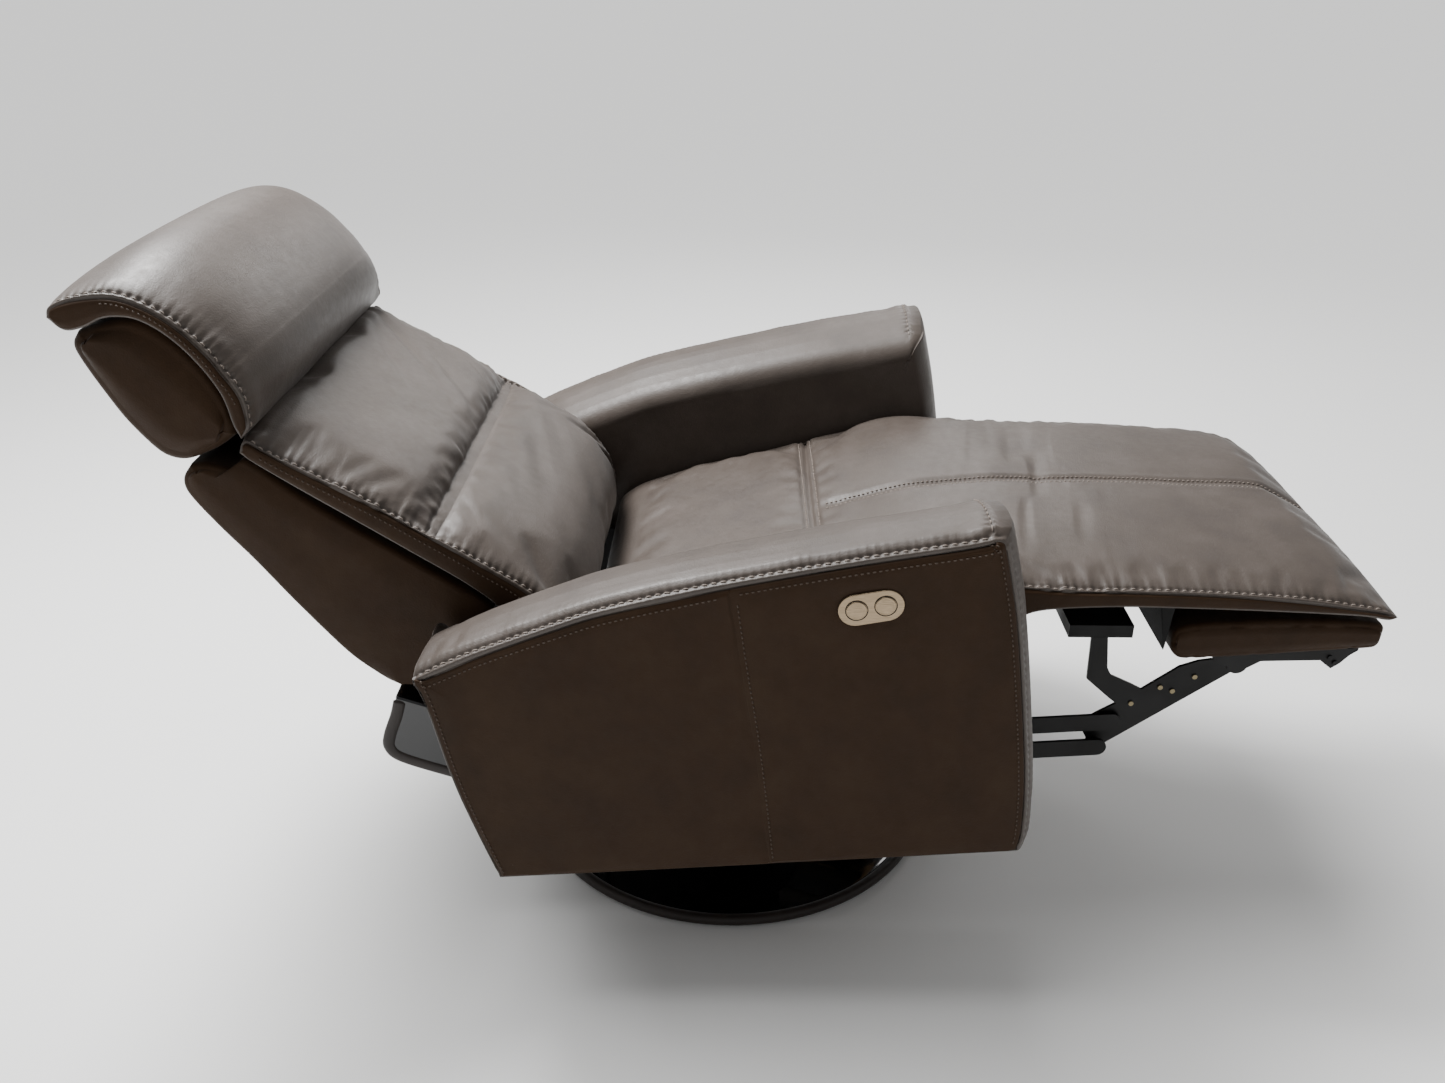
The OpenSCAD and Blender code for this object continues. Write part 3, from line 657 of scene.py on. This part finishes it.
FINISHES = {
    "felt": woven("needled_felt", "#1b1b1b", "#2c2c2c", 0.0008),
    "gloss_black_base": LACQUER,
    "satin_black_steel": POWDER,
    "zinc_fasteners": ZINC,
    "nylon": painted("natural_nylon", "#cfcabd", "#dcd8cc", 0.4, 0.002, 0.00004),
    "plywood": wood("rotary_cut_plywood", "#9a7447", "#c29a68"),
    "elastic_webbing": woven("elastic_webbing_weave", "#2b2b2a", "#4d4d4b", 0.0015),
    "leather_top": LEATHER,
    "leather_side": LEATHER_SIDE_SHADED,
    "gloss_black_shroud": GLOSS_ABS,
    "black_moulding": painted("matt_black_polypropylene", "#101010", "#181818", 0.55, 0.0006, 0.00008),
    "brushed_stainless": STAINLESS,
    "black_board": painted("black_stained_board", "#0a0a0a", "#121212", 0.6, 0.0012, 0.0001),
}
for part in frame["record"]["subparts"]:
    node = frame["nodes"][part["node"]]
    node.data.materials.clear()
    node.data.materials.append(FINISHES[part["material_slot"]])


def soft(piece, body, nodes):
    """Declares an upholstered piece: attaches it to its body and hides the plain solids that it stands for."""
    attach(piece, body)
    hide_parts(*nodes)


def trim(piece, body):
    """Declares stitching or another small piece: its body."""
    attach(piece, body)


def side_row(name, form, piece, sign, e, first, last, edge=False):
    """A row of stitches along the form's outer line, between the running lengths first and last. On the
    face it is a saddle row e inside the side edge; on the edge it is a fine row e below the outer
    line."""
    n = form.count
    keep = (form.s[:n, 0] > first) & (form.s[:n, 0] < last)
    line, out, runs = form.outline[:n][keep], form.out[:n][keep], form.s[:n, 0][keep]
    x = sign * (abs(form.x).max() - (0 if edge else e))
    if edge:
        line = line - out * e
    hits = []
    for point, direction, run in zip(line, out, runs):
        aim = Vector((-sign, 0, 0)) if edge else Vector((0, direction[0], -direction[1]))
        start = Vector((x, -point[0], point[1])) * MM - aim * 0.05
        hit, place, up, _ = piece.ray_cast(start, aim, distance=0.1)
        if hit:
            hits.append((*place, *up, run))
    hits = np.array(hits)
    kind = (FINE_PITCH, 3.6, THREAD_SIDE_SHADED) if edge else (SADDLE_PITCH, SADDLE_LONG, THREAD_TOP)
    return threads(name, hits[:, :3], hits[:, 3:6], hits[:, 6], *kind)


# ---------------------------------------------------------------- headrest
def headrest():
    """The rolled pad over its inner pad. The pad's crown is 39 mm in the middle, falling off as |x|^4.2."""
    outer, inner = curve(HEAD_OUTER), curve(HEAD_INNER)
    length = arc_length(outer)[-1]

    def crown(form):
        edge = 1 - (abs(form.x) / SOFT_HALF) ** 4.2
        along = ease((length - form.s) / 80) * (0.3 + 0.7 * ease(form.s / 110))
        return 39 * edge * along * form.on_top

    form = Form(outer, inner, 190, section(-SOFT_HALF, 2.5, 6, SOFT_HALF, 2.5, 6, 150), crown, bulge=(2, 2))
    form.swell(form.sewn(8, length - 8), 1.5, 0.0, 4)
    e = SOFT_HALF - abs(form.x) + form.s * 0
    front = ease(form.s / 40) * ease((length - form.s) / 30) * form.on_top * (form.reach == 0)
    wave = noise(form.s / 30, e / 60, 5) * bump(e - 22, 26)
    folds = np.maximum(noise(form.s / 9, e / 40 + form.s / 70, 6), 0) * np.exp(-np.maximum(e - 8, 0) / 20)
    form.press((saddle_edge(e, form.s, 3) + 0.9 * wave - 2.0 * folds * ease((form.s - 60) / 120)) * front)
    pad = form.mesh("headrest_pad_leather", LEATHER, LEATHER_SIDE_SHADED)
    soft(pad, "headrest", ["headrest_pad"])
    for sign, side in ((-1, "right"), (1, "left")):
        row = side_row(f"headrest_saddle_{side}", form, pad, sign, SADDLE_IN, 12, length - 10)
        trim(row, "headrest")
        row = side_row(f"headrest_strip_stitch_{side}", form, pad, sign, 7, 60, length - 40, edge=True)
        trim(row, "headrest")

    core = Form(curve(CORE_OUTER), curve(CORE_INNER), 130,
                section(-CORE_HALF, 12, 14, CORE_HALF, 12, 14, 70), bulge=(7, 7), margin=30)
    x, y, z = np.moveaxis(core.grid, 2, 0)
    core.press(0.9 * noise(y / 0.06, z / 0.05 + x / 0.09, 8))
    pad = core.mesh("headrest_core_leather", LEATHER_SIDE_SHADED)
    soft(pad, "headrest", ["headrest_core"])


# ---------------------------------------------------------------- back
def back():
    """The back cushion, crowned 20 mm, with a welted seam across it, and the shell behind it."""
    outer, inner = curve(BACK_OUTER), curve(BACK_INNER)
    length = arc_length(outer)[-1]

    def crown(form):
        edge = 1 - (abs(form.x) / SOFT_HALF) ** 3.6
        along = ease((form.s + 6) / 34) * (0.35 + 0.65 * ease((length - form.s) / 120))
        return 20 * edge * along * form.on_top

    form = Form(outer, inner, 230, section(-SOFT_HALF, 2.5, 5, SOFT_HALF, 2.5, 5, 160), crown,
                bulge=(1.5, 1.5))
    d = form.s - form.s[form.ring(*SEAM_BACK), 0]
    form.swell(form.sewn(12, length - 10) | (abs(d - 4) < 8), 3.5, 0.015, 9)
    e = SOFT_HALF - abs(form.x) + form.s * 0
    on = form.on_top * (form.reach == 0)
    front = ease(form.s / 25) * ease((length - form.s) / 60) * on
    x = form.x + form.s * 0
    # The panels round down into the seam. The welt lies from d = 0 to 9 mm: two cords between three grooves
    ripple = 1 + 0.25 * noise(x / 14, x * 0, 15)
    below = np.where(d > 9, -6.5 * np.exp(-(d - 9) / 11), -5.0)
    valley = np.where(d < 0, -8.5 * np.exp(d / 11) * ripple, below)
    grooves = 3.6 * bump(d, 1.3) + 2.6 * bump(d - 4.5, 1.0) + 3.0 * bump(d - 9, 1.3)
    welt = (valley - grooves) * ease((e - 1) / 14)
    upper = ease(-d / 25)
    fan = noise((form.s + 0.9 * x) / 22, (x - 0.6 * form.s) / 110, 11)
    fan = np.maximum(fan, 0) ** 1.3 * ease((x + 60) / 220) * ease(-d / 30)
    tucks = np.maximum(noise(form.s / 11, e / 50 + form.s / 80, 12), 0) * np.exp(-np.maximum(e - 8, 0) / 30)
    gathers = np.maximum(noise(x / 9, d / 60, 16), 0) * bump(d + 10, 9)
    belly = noise(form.s / 70, x / 90, 13)
    low = noise((form.s + 0.3 * x) / 22, x / 120, 14) * ease(d / 40)
    form.press((saddle_edge(e, form.s, 4) + welt + upper * (2.2 * belly - 4.5 * fan)
                - 3.0 * tucks * (0.4 + upper) - 1.6 * gathers + 0.9 * low) * front)
    pad = form.mesh("back_cushion_leather", LEATHER, LEATHER_SIDE_SHADED)
    soft(pad, "back", ["back_cushion"])
    for sign, side in ((-1, "right"), (1, "left")):
        row = side_row(f"back_saddle_{side}", form, pad, sign, SADDLE_IN, 12, length - 40)
        trim(row, "back")
        row = side_row(f"back_strip_stitch_{side}", form, pad, sign, 9, 30, length - 90, edge=True)
        trim(row, "back")

    shell = Form(curve(SHELL_OUTER), curve(SHELL_INNER), 190,
                 section(-SOFT_HALF + 5, 8, 26, SOFT_HALF - 5, 8, 26, 90), bulge=(3.5, 3.5), margin=30)
    x, y, z = np.moveaxis(shell.grid, 2, 0)
    shell.press(1.2 * noise(y / 0.07 + z / 0.2, z / 0.08 + x / 0.2, 21))
    skin = shell.mesh("back_shell_leather", LEATHER_SIDE_SHADED)
    soft(skin, "back", ["back_shell"])


# ---------------------------------------------------------------- seat and leg pad
def seat():
    """Seat cushion and leg pad in one leather, which bends at the knee. The crown grows from 6 mm on the
    seat to 24 mm at the toe, falling off as |x|^3 towards the sides."""
    outer, inner = curve(SEAT_OUTER), curve(SEAT_INNER)
    length = arc_length(outer)[-1]

    def crown(form):
        edge = 1 - (abs(form.x) / SOFT_HALF) ** 3.0
        grow = 6 + 10 * ease((form.f - 250) / 120) + 8 * ease((form.f - 560) / 150)
        return grow * edge * ease((762 - form.f) / 60) * ease((form.s - 10) / 60) * form.on_top

    form = Form(outer, inner, 400, section(-SOFT_HALF, 3, 5, SOFT_HALF, 3, 5, 150, marks=(0.0,)), crown,
                bulge=(1, 1))
    x = form.x + form.s * 0
    d = form.f - SEAM_ACROSS_F
    on = form.on_top * (form.reach == 0)
    held = form.sewn(75, length - 8) | (abs(d) < 5) | (abs(x) < 3) & (form.f > SEAM_ACROSS_F)
    form.swell(held, 2.5, 0.02, 8)
    e = SOFT_HALF - abs(form.x) + form.s * 0
    pad = ease((form.f - 285) / 40)
    knee = bump(form.f - 372, 48)
    cross = twin_seam(d, x, 8) - 5.0 * np.exp(-abs(d) / 16) - 2.5 * bump(d, 1.6)
    sunk = 2.0 + 5.5 * bump(form.f - 250, 95)
    lengthwise = (twin_seam(x, form.s) - sunk * np.exp(-abs(x) / 22)) * ease((form.f - 112) / 30)
    lengthwise = lengthwise * ease((752 - form.f) / 20)
    rolls = noise((form.f - 0.18 * x) / 17, x / 120, 31) * bump(e - 175, 80) * bump(form.f - 385, 42)
    near = np.maximum(noise(form.s / 12, e / 40, 32), 0) * np.exp(-np.maximum(e - 8, 0) / 22) * knee
    drape = noise(form.f / 90, x / 90, 33)
    drape += 1.6 * noise(form.f / 75, x / 130, 35) * ease((290 - form.f) / 60)
    tip = ease((form.s - 60) / 60) * ease((length - form.s) / 14) * on
    form.press((saddle_edge(e, form.s, 34) * pad + cross + lengthwise - 4.0 * np.maximum(rolls, 0)
                - 4.0 * near + 1.1 * drape) * tip)
    piece = form.mesh("seat_and_leg_pad_leather", LEATHER, LEATHER_SIDE_SHADED)
    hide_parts("seat_cushion", "footrest_pad")
    rows = [piece]
    start_s = form.s[form.ring(300, 490), 0]
    for sign, side in ((-1, "right"), (1, "left")):
        rows.append(side_row(f"pad_saddle_{side}", form, piece, sign, SADDLE_IN, start_s, length - 8))
    down = (0, 0, -1)
    for k in (-7.0, 7.0):
        xs = np.arange(-SOFT_HALF + 8, SOFT_HALF - 8, 1.5)
        points = np.column_stack([xs, xs * 0 - SEAM_ACROSS_F - k * 8 / 7, xs * 0 + 465])
        end = "rear" if k < 0 else "front"
        rows.append(edge_threads(f"seat_cross_stitch_{end}", piece, points, xs, down, FINE_PITCH, FINE_LONG,
                                 THREAD_TOP))
        n = form.count
        keep = (form.f[:n, 0] > 116) & (form.f[:n, 0] < 742)
        fs, runs = form.f[:n, 0][keep], form.s[:n, 0][keep]
        points = np.column_stack([fs * 0 + k, -fs, fs * 0 + 510])
        side = "right" if k < 0 else "left"
        rows.append(edge_threads(f"pad_centre_stitch_{side}", piece, points, runs, down, FINE_PITCH,
                                 FINE_LONG, THREAD_TOP))
    for row in rows:
        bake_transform(row)


# ---------------------------------------------------------------- arms
ARM_CREST = [(268, -26), (275, -21), (290, -13), (310, -5), (335, 2), (350, 4.5), (370, 4.5), (385, 2.5),
             (393, -2), (400, -8)]
ARM_NOSE = [(268, -4), (280, 4), (295, 9), (330, 13), (370, 13), (385, 10), (394, 5), (400, 0)]


def arm_line():
    """The arm's side outline from its rear bottom corner, over the top, to its front bottom corner."""
    return np.vstack([curve(ARM_REAR), curve(ARM_TOP), curve(ARM_FRONT)])


def panel_row(name, piece, sign, line):
    """A fine row of stitches on a side panel, along the line."""
    points = np.column_stack([line[:, 0] * 0 + sign * (ARM_OUT + 2), -line[:, 0], line[:, 1]])
    row = edge_threads(name, piece, points, arc_length(line), (-sign, 0, 0), FINE_PITCH, FINE_LONG,
                       THREAD_SIDE_SHADED)
    trim(row, "seat")


def arm(sign, side):
    """One arm: the cover over its top, inside, front and rear, and the two side panels, sewn along an
    upright seam. The cover's crown is the crest profile upwards on top and the nose profile forwards
    in front."""
    line = arm_line()
    floor = np.array([ARM_REAR[0], ARM_FRONT[-1]], float)
    crest, nose = np.array(ARM_CREST), np.array(ARM_NOSE)

    def crown(form):
        a = abs(form.x)
        up, ahead = form.out[:, 1:], form.out[:, :1]
        top = ease((up - 0.1) / 0.5) * np.interp(a, crest[:, 0], crest[:, 1])
        front = ease((ahead - 0.1) / 0.5) * np.interp(a, nose[:, 0], nose[:, 1])
        return np.dstack([front, top]) * form.on_top[:, :, None]

    if sign < 0:
        stations = section(-ARM_OUT, 3, 6, -ARM_IN, 20, 34, 64)
        bulge = (-9, 0)
    else:
        stations = section(ARM_IN, 20, 34, ARM_OUT, 3, 6, 64)
        bulge = (0, -9)
    form = Form(line, floor, ARM_RINGS, stations, crown, bulge=bulge, rise=30, margin=20)
    e = ARM_OUT - abs(form.x) + form.s * 0
    length = arc_length(line)[-1]
    rear_s = form.s[form.ring(-318, 452), 0]
    nose_s = form.s[form.ring(*ARM_CORNER), 0]
    on = form.on_top * (form.reach == 0)
    top = ease((form.s - rear_s + 12) / 14) * ease((nose_s + 12 - form.s) / 14)
    lower = ease((form.s - nose_s - 5) / 12) * ease((length - form.s) / 20)
    drape = noise(form.s / 80, e / 45, 41 + sign)
    pull = np.maximum(noise(form.s / 14, e / 30, 44 + sign), 0) * bump(form.s - rear_s - 20, 26)
    back = nose_s - form.s
    corner = saddle_edge(abs(back), e, 48) * bump(np.minimum(back, 0), 2)
    corner = corner * ease((e - 4) / 6) * ease((118 - e) / 12)
    form.press((saddle_edge(e, form.s, 46) * top + 0.6 * saddle_edge(e, form.s, 47) * lower + corner
                + 0.7 * drape - 2.5 * pull) * on)
    cover = form.mesh(f"arm_cover_{side}_leather", LEATHER)
    soft(cover, "seat", [f"arm_top_{side}", f"arm_inner_{side}", f"arm_front_{side}"])
    row = side_row(f"arm_saddle_{side}", form, cover, sign, SADDLE_IN, rear_s + 4, nose_s)
    trim(row, "seat")
    across = np.arange(ARM_IN + 16, ARM_OUT - 5, 1.0)
    row_f, row_z = form.outline[form.ring(*ARM_CORNER)] - (SADDLE_IN, 0)
    points = np.column_stack([sign * across, across * 0 - row_f, across * 0 + row_z + 20])
    order = slice(None, None, -1)
    row = edge_threads(f"arm_front_saddle_{side}", cover, points[order], (ARM_OUT - across)[order],
                       (0, 0, -1), SADDLE_PITCH, SADDLE_LONG, THREAD_TOP)
    trim(row, "seat")

    # The side panels lie just inside the cover's edge: 11 mm below the crest line, 1.5 mm elsewhere
    even = resample(line, ARM_RINGS)
    t = np.gradient(even, axis=0)
    n = np.column_stack([-t[:, 1], t[:, 0]]) / np.linalg.norm(t, axis=1, keepdims=True)
    inside = even - n * (1.5 + 9.5 * ease((n[:, 1:] - 0.3) / 0.4))
    seam = curve(PANEL_SEAM)[::-1]
    low_f = float(PANEL_SEAM[-1][0])
    low_seam = np.array([low_f, np.interp(low_f, floor[:, 0], floor[:, 1])])
    cut = int(np.argmin(abs(inside[:, 0] - PANEL_SEAM_TOP_F) + 1e3 * (n[:, 1] < 0.5)))
    seam = seam[(seam[:, 1] > low_seam[1]) & (seam[:, 1] < inside[cut, 1])]
    rear_outer = inside[:cut + 1]
    seam_line = np.vstack([low_seam, seam, inside[cut]])
    rear_inner = np.vstack([inside[0], seam_line + (SEAM_OVERLAP, 0)])
    rear_outer[-1] = rear_inner[-1]
    far = int(cut + (ARM_RINGS - cut) * PANEL_SHARE)
    front_outer = np.vstack([seam_line - (SEAM_OVERLAP, 0), inside[cut + 1:far]])
    front_inner = np.vstack([front_outer[0], inside[-1], inside[:far - 1:-1]])
    front_inner[-1] = front_outer[-1]
    for label, outer, inner in (("rear", rear_outer, rear_inner), ("front", front_outer, front_inner)):
        if sign < 0:
            stations = section(-ARM_OUT - 0.3, 3.0, 34, -ARM_OUT + 9, 1, 3, 10)
            bulge = (1.5, 0)
        else:
            stations = section(ARM_OUT - 9, 1, 3, ARM_OUT + 0.3, 3.0, 34, 10)
            bulge = (0, 1.5)
        panel = Form(outer, inner, 240, stations, bulge=bulge, rise=6, margin=40)
        y, z = panel.grid[:, :, 1], panel.grid[:, :, 2]
        depth = 0.4 * noise(y / 0.07, z / 0.07, 51 + sign)
        if sign < 0:
            away = np.hypot((y / MM + PLATE_F) / PLATE_HALF[0], (z / MM - PLATE_Z) / PLATE_HALF[1])
            depth -= 1.4 * bump(np.maximum(away - 1.0, 0), 0.22)
        panel.press(depth * (panel.reach > 0))
        piece = panel.mesh(f"arm_panel_{label}_{side}_leather", LEATHER_SIDE_SHADED)
        if label == "rear":
            soft(piece, "seat", [f"arm_side_{side}"])
        else:
            trim(piece, "seat")
        edge = (inside - n * 6.5)[:cut] if label == "rear" else (inside - n * 6.5)[cut:]
        panel_row(f"arm_panel_stitch_{label}_{side}", piece, sign, soften(resample(edge, 600), 12)[6:-6])
        if label == "front":
            part = seam[(seam[:, 1] > 205) & (seam[:, 1] < 575)] + (6, 0)
            panel_row(f"arm_seam_stitch_{side}", piece, sign, resample(part, 300))


# ---------------------------------------------------------------- footrest box, controls, base, rear cover
def footrest_box():
    """The leather-wrapped board under the leg pad, with soft edges."""
    form = Form(curve(TOE_OUTER), curve(TOE_INNER), 150, section(-TOE_HALF, 7, 10, TOE_HALF, 7, 10, 70),
                bulge=(2.5, 2.5), margin=20)
    x = form.x + form.s * 0
    tucks = np.maximum(noise(form.s / 10, abs(x) / 26, 62), 0) * bump(TOE_HALF - abs(x), 22)
    form.press((0.6 * noise(form.s / 60, x / 60, 61) - tucks) * (form.reach == 0))
    box = form.mesh("footrest_box_leather", LEATHER_SIDE_SHADED)
    soft(box, "footrest", ["footrest_box"])
    # Black cloth closes the gap between the box and the pad at the rear
    cloth = Form(np.array([(488, 458), (497, 461), (506, 458)], float),
                 np.array([(488, 458), (500, 392), (506, 458)], float), 60,
                 section(-TOE_HALF + 4, 2, 8, TOE_HALF - 4, 2, 8, 30), margin=6)
    cloth = cloth.mesh("footrest_dust_cloth", DUST_CLOTH)
    trim(cloth, "footrest")


def controls():
    """The oval stainless plate and its two round buttons on the outside of the right arm."""
    tilt = math.radians(11)
    half_len, half_h = PLATE_HALF
    a = np.linspace(np.pi, 0, 60)[:, None]
    flat = half_len - half_h
    arch = np.hstack([half_h * np.cos(a) + flat * np.sign(np.cos(a)), half_h * np.sin(a)])
    spin = np.array([[math.cos(tilt), math.sin(tilt)], [-math.sin(tilt), math.cos(tilt)]])
    upper = arch @ spin + (PLATE_F, PLATE_Z)
    lower = arch * (1, -1) @ spin + (PLATE_F, PLATE_Z)
    form = Form(upper, lower, 70, section(-ARM_OUT - 3.0, 0.8, 8, -ARM_OUT, 0.3, 3, 6), margin=10)
    plate = form.mesh("control_plate_steel", STAINLESS)
    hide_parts("control_plate")
    trim(plate, "seat")
    dome = [(0, 0), (10.3, 0), (10.3, 3.6), (10.0, 4.0), (9.2, 4.2), (8.8, 4.0), (8.4, 4.0), (5, 4.35),
            (0, 4.5)]
    for name in ("button_open", "button_close"):
        low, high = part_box(name)
        centre = ((-ARM_OUT - 0.2), (low.y + high.y) / 2 / MM, (low.z + high.z) / 2 / MM)
        cap = lathe(f"{name}_steel", dome, centre, (-1, 0, 0), STAINLESS, 64)
        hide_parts(name)
        trim(cap, name)
        # A black ring fills the gap round each button: painted shade standing for the dark inside the gap.
        gap = [(10.7, 0), (11.5, 0), (11.5, 3.1), (10.7, 3.1), (10.7, 0)]
        ring = lathe(f"{name}_gap_shade_ring", gap, centre, (-1, 0, 0), POWDER, 64)
        flip(ring)
        trim(ring, "seat")


def base():
    """The round base: a lacquered disc, dished towards its satin rim."""
    r = disc_hi.x / MM
    low = disc_lo.z / MM
    disc = [(0, low), (r - 13, low), (r - 13, 11.5), (r - 17, 10.6), (r - 24, 11.2), (180, 13.6), (90, 15),
            (0, 15)]
    rim = [(r - 14, low), (r - 5, low), (r - 1, low + 2), (r, low + 5), (r - 0.5, 13), (r - 3, 16),
           (r - 7, 17), (r - 11, 16), (r - 13.5, 13.5), (r - 14, 10), (r - 14, low)]
    disc = curve(disc[2:]).tolist() + disc[:2]
    plate = lathe("base_disc_lacquered", disc, (0, 0, 0), (0, 0, 1), LACQUER, 180)
    flip(plate)
    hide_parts("base_plate")
    trim(plate, "base")
    ring = lathe("base_rim_satin", curve(rim), (0, 0, 0), (0, 0, 1), RIM, 180)
    flip(ring)
    trim(ring, "base")


def flip(piece):
    """Recalculates the normals of a closed piece so that they point outwards."""
    work = bmesh.new()
    work.from_mesh(piece.data)
    bmesh.ops.recalc_face_normals(work, faces=work.faces)
    work.to_mesh(piece.data)
    work.free()


def rear_cover():
    """The gloss moulded cover below the back, with a satin rim along the lower and rear edge of each
    side."""
    outer = [(-412, 262), (-409, 280), (-397, 309), (-390, 337), (-345, 321), (-300, 299)]
    inner = [(-412, 262), (-396, 246), (-345, 227), (-302, 214), (-297, 250), (-300, 299)]
    half = shroud_hi.x / MM
    form = Form(np.array(outer, float), np.array(inner, float), 120,
                section(-half, 5, 16, half, 5, 16, 30), margin=30)
    cover = form.mesh("rear_cover_moulded", GLOSS_ABS)
    flip(cover)
    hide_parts("rear_shroud")
    trim(cover, "seat")
    edge = curve([(-303, 219), (-345, 232), (-392, 250), (-405, 264), (-403, 281), (-392, 309),
                  (-385, 332)])
    for sign, side in ((-1, "right"), (1, "left")):
        path = np.column_stack([edge[:, 0] * 0 + sign * (half - 1), -edge[:, 0], edge[:, 1]])
        rim = rope(f"rear_cover_rim_{side}", path, (1, 0, 0), 7.5, 3.5, RIM)
        flip(rim)
        trim(rim, "seat")


headrest()
back()
seat()
arm(-1, "right")
arm(1, "left")
footrest_box()
controls()
base()
rear_cover()


# ---------------------------------------------------------------- camera, light and floor
def studio():
    """Pale floor, a wide soft light from above, a softbox overhead and a weaker one on the far side."""
    floor = bpy.data.meshes.new("floor")
    far, drop = 40, -0.001
    corners = [(-far, -far, drop), (far, -far, drop), (far, far, drop), (-far, far, drop)]
    floor.from_pydata(corners, [], [(0, 1, 2, 3)])
    matt, shader = blank("pale_floor")
    shader.inputs["Base Color"].default_value = colour("#efefee")
    shader.inputs["Roughness"].default_value = 0.9
    floor.materials.append(matt)
    put("floor", floor)
    for name, place, aim, size, power in (
            ("overhead", (0.6, 0.95, 2.2), (0.0, 0.2, 0.5), 0.8, 90),
            ("far_side", (2.3, -0.5, 2.0), (0.0, 0.0, 0.5), 1.2, 22)):
        light = bpy.data.lights.new(name, "AREA")
        light.shape = "DISK"
        light.size = size
        light.energy = power
        lamp = put(name, light)
        lamp.location = place
        lamp.rotation_mode = "QUATERNION"
        lamp.rotation_quaternion = (Vector(aim) - Vector(place)).to_track_quat("-Z", "Y")
    sky = bpy.data.lights.new("soft_ceiling", "SUN")
    sky.energy = 2.9
    sky.angle = math.radians(42)
    put("soft_ceiling", sky).rotation_euler = (math.radians(-22), math.radians(12), 0)
    world = bpy.data.worlds.new("studio")
    world.use_nodes = True
    world.node_tree.nodes["Background"].inputs[0].default_value = colour("#ffffff")
    world.node_tree.nodes["Background"].inputs[1].default_value = 0.4
    bpy.context.scene.world = world


def camera():
    """The camera: left of the chair and a little above it, looking across it and down."""
    pitch, yaw = math.radians(26.62), math.radians(0.933)
    ahead = Vector((math.cos(pitch) * math.cos(yaw), math.cos(pitch) * math.sin(yaw), -math.sin(pitch)))
    right = Vector((math.sin(yaw), -math.cos(yaw), 0))
    up = right.cross(ahead)
    data = bpy.data.cameras.new("camera")
    data.sensor_width = 36
    data.lens = 30.9
    cam = put("camera", data)
    cam.matrix_world = Matrix((
        (right.x, up.x, -ahead.x, -1.4663), (right.y, up.y, -ahead.y, -0.0119),
        (right.z, up.z, -ahead.z, 1.1474), (0, 0, 0, 1)))
    bpy.context.scene.camera = cam


studio()
camera()
